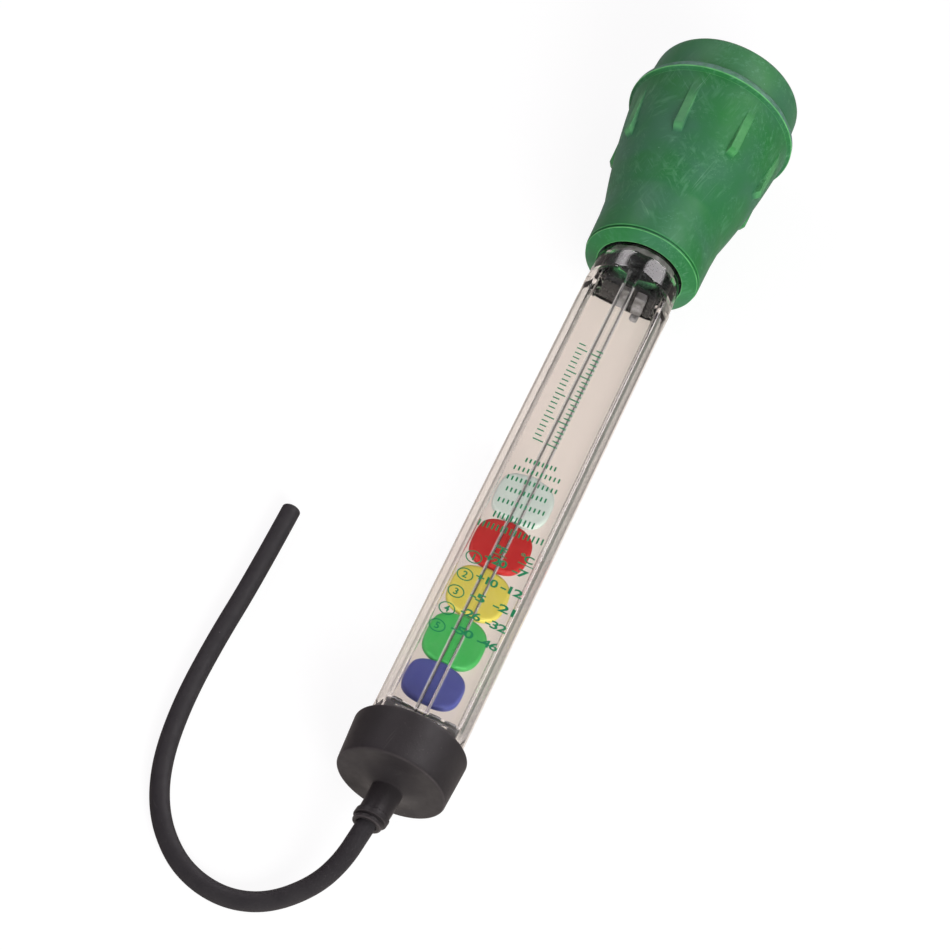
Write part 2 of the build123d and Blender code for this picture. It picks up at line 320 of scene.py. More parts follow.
def divided(path: np.ndarray, longest: float, closed: bool = False) -> np.ndarray:
    """Divide a path's runs so that none is longer than a given length.

    Args:
        path: Points with any further columns, which are divided alike.
        longest: The longest run that stays.
        closed: Whether the path runs on from its last point to its first.

    Returns:
        The path with more points.
    """
    ends = np.roll(path, -1, axis=0) if closed else path[1:]
    starts = path if closed else path[:-1]
    made = []
    for start, end in zip(starts, ends):
        count = max(1, math.ceil(float(np.linalg.norm((end - start)[:2])) / longest))
        share = np.arange(count)[:, None] / count
        made.append(start + (end - start) * share)
    if not closed:
        made.append(path[-1:])
    return np.concatenate(made)


def turned(
    line: ToolLine, profile: np.ndarray, angles: np.ndarray, swell: Callable | None = None,
    drift: Callable | None = None,
) -> Surface:
    """Turn a profile round the tool's axis.

    A point is (along, r sin(angle), r cos(angle)), where angle is counted from straight up
    towards +Y. Swell may add to r, and drift to the second value.

    Args:
        line: The tool's axis.
        profile: Rows of along, radius and how much of an edge it is.
        angles: The angles of the columns, in radians.
        swell: What to add to the radius, from the grids of along, radius and angle.
        drift: How far the axis itself has moved to the +Y side, from the grid of along.

    Returns:
        The turned surface, with its edge value.
    """
    along, angle = np.meshgrid(profile[:, 0], angles, indexing="ij")
    radius = np.repeat(profile[:, 1:2], len(angles), axis=1)
    edge = np.repeat(profile[:, 2:3], len(angles), axis=1)
    if swell is not None:
        radius = radius + swell(along, radius, angle)
    side = radius * np.sin(angle)
    if drift is not None:
        side = side + drift(along)
    points = line.place(along, side, radius * np.cos(angle))
    faces = grid_faces(len(profile), len(angles), wrap=True)
    return Surface(points.reshape(-1, 3), faces, {"edge": edge.ravel()})


def even_angles(count: int) -> np.ndarray:
    """Angles evenly spaced round a full turn."""
    return np.arange(count) * 2 * math.pi / count


def smooth_step(value: np.ndarray, low: float, high: float) -> np.ndarray:
    """Rise from 0 at low to 1 at high: with t the share of the way, 3 t squared less 2 t cubed."""
    share = np.clip((value - low) / (high - low), 0, 1)
    return share * share * (3 - 2 * share)


def soft_least(first: np.ndarray, second: np.ndarray, blend: float) -> np.ndarray:
    """The smaller of two values, rounded where they meet.

    The formula is -blend log(exp(-first / blend) + exp(-second / blend)).

    Args:
        first: One value.
        second: The other value.
        blend: How far the rounding reaches.

    Returns:
        The rounded smaller value.
    """
    return -blend * np.logaddexp(-first / blend, -second / blend)


def block(line: ToolLine, outline: np.ndarray, start: float, end: float, edge: float) -> Surface:
    """Carry a closed outline along the tool, and round it over at both ends.

    At t along a rounded end, the outline draws in towards its middle by edge (1 - cos t), while
    it moves on by edge sin t.

    Args:
        line: The tool's axis.
        outline: Rows of side and height.
        start: Where the block begins.
        end: Where the block ends.
        edge: The radius of its rounded ends.

    Returns:
        The closed block.
    """
    bend = np.linspace(math.pi / 2, 0, 6)
    first, last = start + edge - edge * np.sin(bend), end - edge + edge * np.sin(bend)
    along = np.concatenate([[start], first, last[::-1], [end]])
    drawn_in = edge * (1 - np.cos(bend))
    inset = np.concatenate([[np.inf], drawn_in, drawn_in[::-1], [np.inf]])
    middle = (outline.max(axis=0) + outline.min(axis=0)) / 2
    half = (outline.max(axis=0) - outline.min(axis=0)) / 2
    share = np.maximum(1 - inset[:, None] / half[None, :], 0)
    section = middle + (outline - middle)[None] * share[:, None]
    points = line.place(along[:, None], section[..., 0], section[..., 1])
    return Surface(points.reshape(-1, 3), grid_faces(len(along), len(outline), wrap=True))


# Materials


class Nodes:
    """A short way to add nodes to a tree and join them."""

    def __init__(self, tree: bpy.types.NodeTree) -> None:
        """Keep the tree that the nodes go into."""
        self.tree = tree

    def fill(self, node: bpy.types.Node, inputs: dict) -> None:
        """Give a node's inputs what they get.

        Args:
            node: The node.
            inputs: For each input's name or number, a socket to join or a plain value.
        """
        for name, value in inputs.items():
            if isinstance(value, bpy.types.NodeSocket):
                self.tree.links.new(value, node.inputs[name])
            else:
                node.inputs[name].default_value = value

    def add(self, kind: str, inputs: dict | None = None, **settings: object) -> bpy.types.Node:
        """Add one node.

        Args:
            kind: Blender's name for the node's type, without ShaderNode.
            inputs: What each input gets: a socket to join or a plain value.
            settings: The node's own settings.

        Returns:
            The node.
        """
        node = self.tree.nodes.new("ShaderNode" + kind)
        for name, value in settings.items():
            setattr(node, name, value)
        self.fill(node, inputs or {})
        return node

    def maths(self, operation: str, *values: object) -> bpy.types.NodeSocket:
        """A Math node's result."""
        return self.add("Math", dict(enumerate(values)), operation=operation).outputs[0]

    def mixed(self, share: object, first: object, second: object) -> bpy.types.NodeSocket:
        """A mix of two colours, which are a Mix node's inputs 6 and 7."""
        node = self.add("Mix", {"Factor": share, 6: first, 7: second}, data_type="RGBA")
        return node.outputs[2]

    def laid(self, mask: object, share: float, below: object, above: object) -> bpy.types.NodeSocket:
        """A colour laid over another where a mask is, as far as its share says."""
        return self.mixed(self.maths("MULTIPLY", mask, share), below, above)

    def blended(self, share: object, first: bpy.types.Node, second: bpy.types.Node) -> bpy.types.Node:
        """A mix of two shaders."""
        return self.add("MixShader", {0: share, 1: first.outputs[0], 2: second.outputs[0]})

    def ranged(
        self, value: object, low: object, high: object, to_low: float = 0.0, to_high: float = 1.0
    ) -> bpy.types.NodeSocket:
        """A value taken from one range to another, and kept inside it."""
        inputs = {"Value": value, "From Min": low, "From Max": high, "To Min": to_low, "To Max": to_high}
        return self.add("MapRange", inputs).outputs[0]

    def millimetres(self) -> bpy.types.NodeSocket:
        """The object's own coordinates, in millimetres."""
        place = self.add("TexCoord").outputs["Object"]
        return self.add("Mapping", {"Vector": place, "Scale": (1 / MM,) * 3}).outputs[0]

    def noise(self, place: object, size: float, detail: float, warp: float = 0.0) -> bpy.types.NodeSocket:
        """Noise whose blotches are about size millimetres across."""
        inputs = {"Vector": place, "Scale": 1 / size, "Detail": detail, "Distortion": warp}
        return self.add("TexNoise", inputs).outputs["Fac"]

    def attribute(self, name: str) -> bpy.types.NodeSocket:
        """A value that the piece's mesh carries."""
        return self.add("Attribute", attribute_name=name).outputs["Fac"]


@dataclass(frozen=True)
class Blotches:
    """Noise, and the stretch of its values over which its blotches come up. The size is in millimetres."""

    size: float
    detail: float
    warp: float = 0.0
    low: float = 0.3
    high: float = 0.7

    def mask(
        self, nodes: Nodes, place: object, to_low: float = 0.0, to_high: float = 1.0
    ) -> bpy.types.NodeSocket:
        """The blotches as a value from to_low to to_high."""
        noise = nodes.noise(place, self.size, self.detail, self.warp)
        return nodes.ranged(noise, self.low, self.high, to_low, to_high)


def new_material(name: str) -> tuple[bpy.types.Material, Nodes]:
    """Start a material whose node tree is empty.

    Args:
        name: The material's name.

    Returns:
        The material and its node adder.
    """
    material = bpy.data.materials.new(name)
    material.use_nodes = True
    material.node_tree.nodes.clear()
    return material, Nodes(material.node_tree)


def colour(red: float, green: float, blue: float) -> Colour:
    """Turn a colour's screen values into the light values that shaders take.

    The standard screen curve is v / 12.92 for a dark value, and ((v + 0.055) / 1.055) ^ 2.4 for the rest.

    Args:
        red: From 0 to 255, as the other two.
        green: The green value.
        blue: The blue value.

    Returns:
        Red, green, blue and a full alpha.
    """
    screen = np.array([red, green, blue]) / 255
    light = np.where(screen <= 0.04045, screen / 12.92, ((screen + 0.055) / 1.055) ** 2.4)
    return (*light.tolist(), 1.0)


class Effects:
    """The effects that more than one finish uses, each a node group that is built once."""

    # Each way's turn in radians, and the size of the patches that its streaks show in
    STREAK_WAYS = ((0.25, 16.0), (1.15, 11.0), (-0.6, 21.0))
    PATCH_LOW = 0.46
    PATCH_HIGH = 0.62
    SPECK_RADIUS = 0.04
    SPECK_SOFT_RADIUS = 0.1

    @staticmethod
    def group(name: str, inputs: dict[str, float | None]) -> tuple[Nodes, object, bpy.types.Node]:
        """Start a node group that puts out a mask.

        Args:
            name: The group's name.
            inputs: Each input's value when nothing is joined to it, or None for a vector.

        Returns:
            The group's node adder, the sockets of its inputs, and its outputs' node.
        """
        tree = bpy.data.node_groups.new(name, "ShaderNodeTree")
        for label, value in inputs.items():
            kind = "NodeSocketVector" if value is None else "NodeSocketFloat"
            socket = tree.interface.new_socket(label, in_out="INPUT", socket_type=kind)
            if value is not None:
                socket.default_value = value
        tree.interface.new_socket("Mask", in_out="OUTPUT", socket_type="NodeSocketFloat")
        given = tree.nodes.new("NodeGroupInput")
        return Nodes(tree), given.outputs, tree.nodes.new("NodeGroupOutput")

    @staticmethod
    @cache
    def streaks() -> bpy.types.NodeTree:
        """Scuffs: noise drawn out along three ways, whose peaks show in patches, crisp or soft.

        Returns:
            The group's tree.
        """
        inputs = {"Vector": None, "Length": 30.0, "Width": 0.5, "Low": 0.66, "High": 0.76}
        nodes, given, result = Effects.group("Streaks", inputs)
        thin = nodes.maths("DIVIDE", 1.0, given["Width"])
        long = nodes.maths("DIVIDE", 1.0, given["Length"])
        scale = nodes.add("CombineXYZ", {"X": long, "Y": thin, "Z": thin}).outputs[0]
        total = None
        for turn, patch in Effects.STREAK_WAYS:
            turns = (0.4 * turn, 0.7 * turn, turn)
            way = nodes.add("Mapping", {"Vector": given["Vector"], "Rotation": turns}).outputs[0]
            drawn = nodes.add("VectorMath", {0: way, 1: scale}, operation="MULTIPLY").outputs[0]
            peaks = nodes.ranged(nodes.noise(drawn, 1.0, 2.0, 0.3), given["Low"], given["High"])
            shown = Blotches(patch, detail=2.0, low=Effects.PATCH_LOW, high=Effects.PATCH_HIGH)
            part = nodes.maths("MULTIPLY", peaks, shown.mask(nodes, way))
            total = part if total is None else nodes.maths("MAXIMUM", total, part)
        nodes.fill(result, {"Mask": total})
        return nodes.tree

    @staticmethod
    @cache
    def specks() -> bpy.types.NodeTree:
        """Dust: small dots at the middles of a few of a net's cells.

        Returns:
            The group's tree.
        """
        nodes, given, result = Effects.group("Specks", {"Vector": None, "Size": 3.0, "Share": 0.3})
        shrink = nodes.maths("DIVIDE", 1.0, given["Size"])
        cells = nodes.add("TexVoronoi", {"Vector": given["Vector"], "Scale": shrink})
        pick = nodes.add("SeparateColor", {"Color": cells.outputs["Color"]}).outputs[0]
        kept = nodes.maths("LESS_THAN", pick, given["Share"])
        far = cells.outputs["Distance"]
        dot = nodes.ranged(far, Effects.SPECK_RADIUS, Effects.SPECK_SOFT_RADIUS, 1.0, 0.0)
        nodes.fill(result, {"Mask": nodes.maths("MULTIPLY", kept, dot)})
        return nodes.tree

    @staticmethod
    def use(nodes: Nodes, tree: bpy.types.NodeTree, **inputs: object) -> bpy.types.NodeSocket:
        """Place a group and give its mask."""
        return nodes.add("Group", inputs, node_tree=tree).outputs["Mask"]


@dataclass(frozen=True)
class Finish:
    """A surface's look, which build() turns into a material.

    Each share says how far its colour covers what is under it, and sizes are in millimetres. The
    rubbed, inner and flank colours show where the mesh carries a value of that name: rubbed is wear, inner
    and flank are painted shade, and the edge colour is partly wear and partly painted highlight.
    """

    name: str
    base: Colour
    shine: Shine = Shine.RUBBER
    roughness: float = 0.5
    cloudy: Colour | None = None
    cloud_size: float = 18.0
    cloud_share: float = 0.5
    scuff: Colour | None = None
    scuff_share: float = 0.0
    scuff_length: float = 30.0
    smudge: Colour | None = None
    smudge_share: float = 0.0
    speck_share: float = 0.0
    # The edge colour is partly wear and partly painted highlight; inner and flank are painted shade; rubbed
    # is wear
    edge: Colour | None = None
    edge_share: float = 0.0
    rubbed: Colour | None = None
    inner: Colour | None = None
    flank: Colour | None = None
    specular: float = 0.5
    sheen: float = 0.0
    alpha: float = 1.0
    grain: float = 0.3
    grain_size: float = 0.5
    wave: float = 0.0
    wave_size: float = 12.0

    ROUGHNESS_PLAY = 0.05
    SCUFF_ROUGHNESS = 0.1
    SPECK_COVER = 0.5
    GRAIN_DEPTH = 0.1
    SHEEN_ROUGHNESS = 0.4
    SHEEN_TINT = (0.75, 0.86, 1.0, 1.0)
    SHADOW_TINT = (0.93, 0.93, 0.92, 1.0)

    def build(self) -> bpy.types.Material:
        """Make the material: clouds, scuffs, dust and lighter edges, which are partly wear and partly painted
        highlight, over a base colour, with painted shade where the mesh asks for it.

        Returns:
            The material.
        """
        material, nodes = new_material(self.name)
        place = nodes.millimetres()
        shade = self.base
        if self.cloudy:
            clouds = Blotches(self.cloud_size, detail=5.0, warp=0.4, low=0.35, high=0.68)
            shade = nodes.mixed(clouds.mask(nodes, place, 0.0, self.cloud_share), shade, self.cloudy)
        play = Blotches(self.cloud_size * 0.4, detail=4.0).mask(
            nodes, place, -self.ROUGHNESS_PLAY, self.ROUGHNESS_PLAY
        )
        rough = nodes.maths("ADD", play, self.roughness)
        if self.scuff:
            scuffs = Effects.use(nodes, Effects.streaks(), Vector=place, Length=self.scuff_length)
            shade = nodes.laid(scuffs, self.scuff_share, shade, self.scuff)
            rough = nodes.maths("ADD", rough, nodes.maths("MULTIPLY", scuffs, self.SCUFF_ROUGHNESS))
        if self.smudge:
            smudges = Effects.use(
                nodes, Effects.streaks(), Vector=place, Length=7.0, Width=1.5, Low=0.53, High=0.8
            )
            shade = nodes.laid(smudges, self.smudge_share, shade, self.smudge)
        if self.speck_share:
            specks = Effects.use(nodes, Effects.specks(), Vector=place, Share=self.speck_share)
            shade = nodes.laid(specks, self.SPECK_COVER, shade, self.scuff or self.base)
        shade = self.worn(nodes, place, shade)
        height = nodes.maths(
            "MULTIPLY", nodes.noise(place, self.grain_size, 2.0), self.grain * self.GRAIN_DEPTH
        )
        if self.wave:
            swell = nodes.maths("MULTIPLY", nodes.noise(place, self.wave_size, 1.0), self.wave)
            height = nodes.maths("ADD", height, swell)
        bump = nodes.add("Bump", {"Height": height, "Distance": MM, "Strength": 1.0})
        self.dress(nodes, shade, rough, bump.outputs[0])
        return material

    def worn(self, nodes: Nodes, place: object, shade: object) -> object:
        """Lay the colours over that the mesh's own values call for.

        Args:
            nodes: The material's nodes.
            place: Where the surface is, in millimetres.
            shade: The colour so far.

        Returns:
            The colour with its lighter edges (partly wear, partly painted highlight), rubbed bands, and the
            painted shade of the barrel's dark bands and the bulb's inner side.
        """
        if self.edge:
            # Lighter edges: partly wear, partly painted highlight along the mesh's edge value
            wear = Blotches(5.0, detail=3.0, high=0.6).mask(nodes, place, 0.5, 1.0)
            wear = nodes.maths("MULTIPLY", wear, nodes.attribute("edge"))
            shade = nodes.laid(wear, self.edge_share, shade, self.edge)
        if self.rubbed:
            rubs = Blotches(2.2, detail=4.0, low=0.35, high=0.62).mask(nodes, place, 0.25, 0.8)
            shade = nodes.mixed(nodes.maths("MULTIPLY", rubs, nodes.attribute("rubbed")), shade, self.rubbed)
        # Painted shade: the barrel's dark bands and rib lines, and the bulb's dark inside
        for name, tint in (("flank", self.flank), ("inner", self.inner)):
            if tint:
                shade = nodes.mixed(nodes.attribute(name), shade, tint)
        return shade

    def dress(self, nodes: Nodes, shade: object, rough: object, normal: object) -> None:
        """Join the colours and values to a Principled shader, and the shader to the output.

        Args:
            nodes: The material's nodes.
            shade: The surface's colour.
            rough: Its roughness.
            normal: Its bumped normal.
        """
        shader = nodes.add("BsdfPrincipled", {"Base Color": shade, "Roughness": rough, "Normal": normal})
        shader.inputs["IOR"].default_value = self.shine.index
        shader.inputs["Specular IOR Level"].default_value = self.specular
        shader.inputs["Alpha"].default_value = self.alpha
        if self.sheen:
            shader.inputs["Sheen Weight"].default_value = self.sheen
            shader.inputs["Sheen Roughness"].default_value = self.SHEEN_ROUGHNESS
            shader.inputs["Sheen Tint"].default_value = self.SHEEN_TINT
        surface = shader
        if self.shine is Shine.CLEAR:
            shader.inputs["Transmission Weight"].default_value = 1.0
            passing = nodes.add("BsdfTransparent", {"Color": self.SHADOW_TINT})
            path = nodes.add("LightPath")
            surface = nodes.blended(path.outputs["Is Shadow Ray"], shader, passing)
        nodes.add("OutputMaterial", {"Surface": surface.outputs[0]})


@dataclass(frozen=True)
class Finishes:
    """Every finish on the tester."""

    # Its edge colour is partly wear and partly painted highlight on rounded edges and fin tops; its inner
    # colour is painted shade inside the bulb
    green_rubber: Finish = Finish(
        "green_rubber", colour(38, 119, 57), Shine.RUBBER, 0.5,
        cloudy=colour(62, 116, 88), cloud_size=24.0, cloud_share=0.85,
        scuff=colour(132, 184, 152), scuff_share=0.4, scuff_length=60.0,
        smudge=colour(112, 178, 134), smudge_share=0.42, speck_share=0.15,
        edge=colour(110, 196, 118), edge_share=0.9, rubbed=colour(104, 142, 132), inner=colour(16, 26, 20),
        specular=0.26, sheen=0.12, grain=0.25, wave=0.25, wave_size=14.0,
    )
    # Its edge colour is partly wear and partly painted highlight on the cap's rounded edges
    black_rubber: Finish = Finish(
        "black_rubber", colour(42, 39, 40), Shine.RUBBER, 0.5,
        cloudy=colour(51, 48, 49), cloud_size=9.0,
        scuff=colour(92, 87, 86), scuff_share=0.3, speck_share=0.12,
        edge=colour(88, 82, 82), edge_share=0.5, specular=0.3,
    )
    hose_rubber: Finish = Finish(
        "hose_rubber", colour(45, 43, 45), Shine.RUBBER, 0.62,
        cloudy=colour(54, 52, 53), cloud_size=7.0,
        scuff=colour(100, 97, 98), scuff_share=0.2, speck_share=0.08,
        edge=colour(105, 100, 100), edge_share=0.8, specular=0.22, grain=0.2,
    )
    black_plastic: Finish = Finish(
        "black_plastic", colour(26, 27, 27), Shine.PLASTIC, 0.25, cloudy=colour(42, 44, 43), cloud_size=5.0,
    )
    smoky_plastic: Finish = Finish(
        "smoky_plastic", colour(96, 94, 93), Shine.PLASTIC, 0.3, cloudy=colour(150, 149, 150), cloud_size=3.0,
        cloud_share=0.9,
    )
    # Its flank colour is painted shade: dark bands along the sides and lines at the rib, where the clear
    # plastic looks dark
    clear_acrylic: Finish = Finish(
        "clear_acrylic", colour(252, 250, 248), Shine.CLEAR, 0.02, flank=colour(52, 72, 66), grain=0.0,
        wave=0.012, wave_size=9.0,
    )
    # A pale, half-clear sheet for the painted highlight lines beside the rib
    frosted_acrylic: Finish = Finish(
        "frosted_acrylic", colour(226, 224, 222), Shine.PLASTIC, 0.6,
        cloudy=colour(206, 204, 202), cloud_size=2.5, alpha=0.55, specular=0.2,
    )
    print_ink: Finish = Finish(
        "print_ink", colour(18, 118, 74), Shine.PLASTIC, 0.5, cloudy=colour(42, 138, 94), cloud_size=1.6,
        cloud_share=0.6, specular=0.2,
    )
    # Each disc's own colour, and the paler one of its clouds and edges; on the edges it is partly wear and
    # partly painted highlight
    disc_colours: tuple[tuple[str, Colour, Colour], ...] = (
        ("blue", colour(90, 97, 172), colour(102, 109, 180)),
        ("green", colour(68, 180, 88), colour(92, 190, 108)),
        ("yellow", colour(218, 204, 86), colour(226, 212, 110)),
        ("red", colour(190, 42, 42), colour(200, 58, 56)),
        ("clear", colour(206, 220, 212), colour(218, 228, 222)),
    )

    def disc(self, name: str) -> Finish:
        """The plastic of one disc.

        Args:
            name: The disc's colour in a word.

        Returns:
            Its finish.
        """
        base, cloudy = next(row[1:] for row in self.disc_colours if row[0] == name)
        # The edge colour is partly wear and partly painted highlight
        return Finish(
            f"{name}_disc_plastic", base, Shine.PLASTIC, 0.35, cloudy=cloudy, cloud_size=4.0, cloud_share=0.5,
            edge=cloudy, edge_share=0.5, specular=0.3, grain=0.12,
        )


def dress(piece: bpy.types.Object, material: bpy.types.Material) -> bpy.types.Object:
    """Give a piece one material.

    Args:
        piece: The piece.
        material: Its material.

    Returns:
        The piece.
    """
    piece.data.materials.clear()
    piece.data.materials.append(material)
    return piece


def carried(piece: bpy.types.Object, body: str, *nodes: str) -> bpy.types.Object:
    """Let a piece ride on a body, and stand for the nodes that it replaces.

    Args:
        piece: The piece.
        body: The body that carries it.
        nodes: The nodes that it replaces.

    Returns:
        The piece.
    """
    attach(piece, body)
    if nodes:
        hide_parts(*nodes)
    log.info("%s rides on %s and stands for %s", piece.name, body, ", ".join(nodes) or "nothing")
    return piece


# The tester's pieces


@dataclass
class EndCap:
    """The black rubber cup and its ringed stem."""

    line: ToolLine
    material: bpy.types.Material
    foot_radius: float = 18.0
    rim_radius: float = 18.9
    length: float = 16.2
    floor: float = 3.2
    pocket_radius: float = 15.55
    edge: float = 0.7
    boss: float = 2.4
    boss_radius: float = 10.5
    boss_round: float = 12.0
    stem_radius: float = 5.0
    ring_radius: float = 5.45
    ring_at: float = -11.9
    ring_length: float = 2.2
    groove: float = 0.6
    groove_radius: float = 4.4
    tip_radius: float = 4.75
    stem_length: float = 16.0
    socket_radius: float = 3.2
    socket_depth: float = 11.5
    stem_bend: float = 0.9
    stem_root: float = 2.0
    stem_run: float = 12.0
    columns: int = 160

    def profile(self) -> np.ndarray:
        """The cup's outline from the stem's socket round to the pocket's floor.

        Returns:
            Rows of along, radius and edge.
        """
        tip = -self.stem_length
        ring_end = self.ring_at - self.ring_length
        # The fourth numbers are edge values, which lighten the cap's edges, partly as wear and partly as
        # painted highlight
        corners = [
            (tip + self.socket_depth, 0.0, 0.0),
            (tip + self.socket_depth, self.socket_radius, 0.0),
            (tip, self.socket_radius, 0.3, 1.0),
            (tip, self.tip_radius, 0.5, 1.0),
            (ring_end - self.groove, self.tip_radius, 0.2),
            (ring_end - self.groove, self.groove_radius, 0.1, 0.0),
            (ring_end, self.groove_radius, 0.1, 0.0),
            (ring_end, self.ring_radius, 0.3, 0.5),
            (self.ring_at, self.ring_radius, 0.3, 0.5),
            (self.ring_at, self.stem_radius, 0.1, 0.0),
            (-self.boss, self.stem_radius + 0.1, 0.7, 0.1),
            (0.0, self.boss_radius, self.boss_round, 0.0),
            (0.0, self.foot_radius, self.edge, 0.8),
            (self.length, self.rim_radius, self.edge, 1.0),
            (self.length, self.pocket_radius, 0.3, 1.0),
            (self.floor, self.pocket_radius, 0.1),
            (self.floor, 0.0, 0.0),
        ]
        return divided(rounded_path(corners, 7), 1.2)

    def lean(self, along: np.ndarray) -> np.ndarray:
        """How far the hose has pulled the stem aside: bend (s / run)^2, s past where it starts to lean."""
        return self.stem_bend * (np.clip(-self.stem_root - along, 0, None) / self.stem_run) ** 2

    def build(self) -> bpy.types.Object:
        """Make the cap.

        Returns:
            The piece.
        """
        surface = turned(self.line, self.profile(), even_angles(self.columns), drift=self.lean)
        piece = dress(surface.to_object("rubber_end_cap"), self.material)
        return carried(piece, BODY, "end_cap")


@dataclass
class Barrel:
    """The clear moulding: flats outside, and inside a cavity with a rib that opens into a round bore."""

    line: ToolLine
    material: bpy.types.Material
    frosted: bpy.types.Material
    radius: float = 15.5
    corner_radius: float = 16.6
    back_corner_radius: float = 18.2
    side_width: float = 15.4
    flat_height: float = 11.0
    foot_at: float = 4.8
    flats_start_at: float = 20.6
    flats_end_at: float = 203.2
    ramp_slope: float = 1.375
    back_flats_end_at: float = 207.6
    ramp_blend: float = 0.7
    shoulder_at: float = 212.2
    taper: float = 0.6
    taper_end_at: float = 216.2
    taper_ripple: float = 0.05
    neck_at: float = 217.3
    neck_radius: float = 13.4
    neck_end_at: float = 241.8
    bore_radius: float = 11.2
    cavity_half_width: float = 12.2
    cavity_half_height: float = 7.7
    cavity_corner: float = 0.4
    cavity_step: float = 0.9
    cavity_step_low: float = -1.5
    cavity_step_high: float = 1.5
    cavity_step_round: float = 2.5
    cavity_end_at: float = 212.8
    rib_side: float = 0.95
    rib_half_width: float = 1.45
    rib_foot_half_width: float = 1.75
    rib_foot_round: float = 0.5
    rib_depth: float = 2.0
    rib_corner: float = 0.5
    # The painted highlight strips beside the rib: their width, gap, depth and ends
    frost_width: float = 0.42
    frost_gap: float = 0.08
    frost_depth: float = 0.03
    frost_ends: tuple[float, float] = (21.6, 204.0)
    # Where the painted shade's dark band and its thin dark line at the rim lie
    seam_side: float = -12.9
    rim_side: float = 14.6
    corner_blend: float = 0.12
    side_blend: float = 0.5
    foot_edge: float = 0.5
    collar_swell: float = 0.5

    # The columns over a flat, over the corner beside it, and from there to the side's middle
    COLUMNS = (12, 10, 22)
    CORNER_HALF_ANGLE = 0.05
    NARROWEST_FLAT = 0.985

    def height(self, along: np.ndarray, flats_end_at: float) -> np.ndarray:
        """The half height between the flats: it climbs in a straight slope past each end of the flats.

        Args:
            along: Places along the tool.
            flats_end_at: Where the flat's upper end is.

        Returns:
            The half height at each place.
        """
        start = self.ramp_blend * np.logaddexp(0, (self.flats_start_at - along) / self.ramp_blend)
        end = self.ramp_blend * np.logaddexp(0, (along - flats_end_at) / self.ramp_blend)
        return self.flat_height + self.ramp_slope * (start + end)

    def quarter(self, height: np.ndarray, corner_radius: float) -> np.ndarray:
        """Angles from a flat's middle round to its side, crowded over the corner between them.

        Args:
            height: Each row's half height under the flat.
            corner_radius: How far the corner is from the axis.

        Returns:
            A grid of angles, one row for each height.
        """
        corner = np.arccos(np.clip(height / corner_radius, 0, self.NARROWEST_FLAT))[:, None]
        near = self.CORNER_HALF_ANGLE
        on_flat, on_corner, on_side = self.COLUMNS
        flat = np.linspace(0, 1, on_flat, endpoint=False) * (corner - near)
        bend = corner - near + 2 * near * np.linspace(0, 1, on_corner, endpoint=False)
        side = corner + near + (math.pi / 2 - corner - near) * np.linspace(0, 1, on_side)
        return np.concatenate([flat, bend, side], axis=1)

    def angles(self, front: np.ndarray, back: np.ndarray) -> np.ndarray:
        """The columns' angles for each row, all the way round.

        Args:
            front: Each row's half height under the front flat.
            back: Each row's half height under the back flat.

        Returns:
            A grid of angles, one row for each height.
        """
        front, back = self.quarter(front, self.corner_radius), self.quarter(back, self.back_corner_radius)
        half = np.concatenate([front, math.pi - back[:, -2::-1]], axis=1)
        return np.concatenate([half, 2 * math.pi - half[:, -2:0:-1]], axis=1)

    def rows(self) -> tuple[np.ndarray, np.ndarray]:
        """Set out the outer skin's rows, and the radius that each would have without flats.

        The foot's edge is a quarter circle, the collar's radius falls by taper s^2 at the share s of
        its taper, and the shoulder is a quarter of an ellipse down to the neck.

        Returns:
            Places along the tool, crowded over the flats' ends, and the radii.
        """
        arc = np.linspace(0, math.pi / 2, 6)
        share = np.linspace(0, 1, 13)[1:]
        bend = np.linspace(0, math.pi / 2, 12)[1:]
        plain = np.concatenate([
            np.linspace(6, 14, 5),
            np.linspace(15, 24, 46),
            np.linspace(26, self.flats_end_at - 3, 90),
            np.linspace(self.flats_end_at - 2.5, self.flats_end_at + 7.5, 52),
            np.linspace(self.flats_end_at + 7.9, self.shoulder_at, 3),
        ])
        neck = np.linspace(self.neck_at + 0.1, self.neck_end_at, 12)
        tapered = self.radius - self.taper
        along = np.concatenate([
            self.foot_at + self.foot_edge * (1 - np.cos(arc)),
            plain,
            self.shoulder_at + (self.taper_end_at - self.shoulder_at) * share,
            self.taper_end_at + (self.neck_at - self.taper_end_at) * np.sin(bend),
            neck,
        ])
        radius = np.concatenate([
            self.radius - self.foot_edge * (1 - np.sin(arc)),
            np.full(len(plain), self.radius),
            self.radius - self.taper * share**2,
            tapered - (tapered - self.neck_radius) * (1 - np.cos(bend)),
            np.full(len(neck), self.neck_radius),
        ])
        return along, radius

    def squared(self, along: np.ndarray) -> np.ndarray:
        """How far each row has its flats: 1 between their ends, and 0 in the round collars."""
        start = smooth_step(along, self.flats_start_at - 4, self.flats_start_at + 1)
        return start * (1 - smooth_step(along, self.flats_end_at - 1, self.flats_end_at + 3.5))

    def ripple(self, along: np.ndarray, angle: np.ndarray) -> np.ndarray:
        """The collar's slight ripples: r (sin 11a + sin(19a + x)) at angle a and place x, over its taper.

        Args:
            along: The rows' places along the tool.
            angle: The grid of angles.

        Returns:
            What to add to the corner's radius.
        """
        shown = smooth_step(along, self.shoulder_at - 1.5, self.taper_end_at - 1.5)
        shown = self.taper_ripple * shown * (1 - smooth_step(along, self.taper_end_at, self.neck_at))
        return shown[:, None] * (np.sin(11 * angle) + np.sin(19 * angle + along[:, None]))

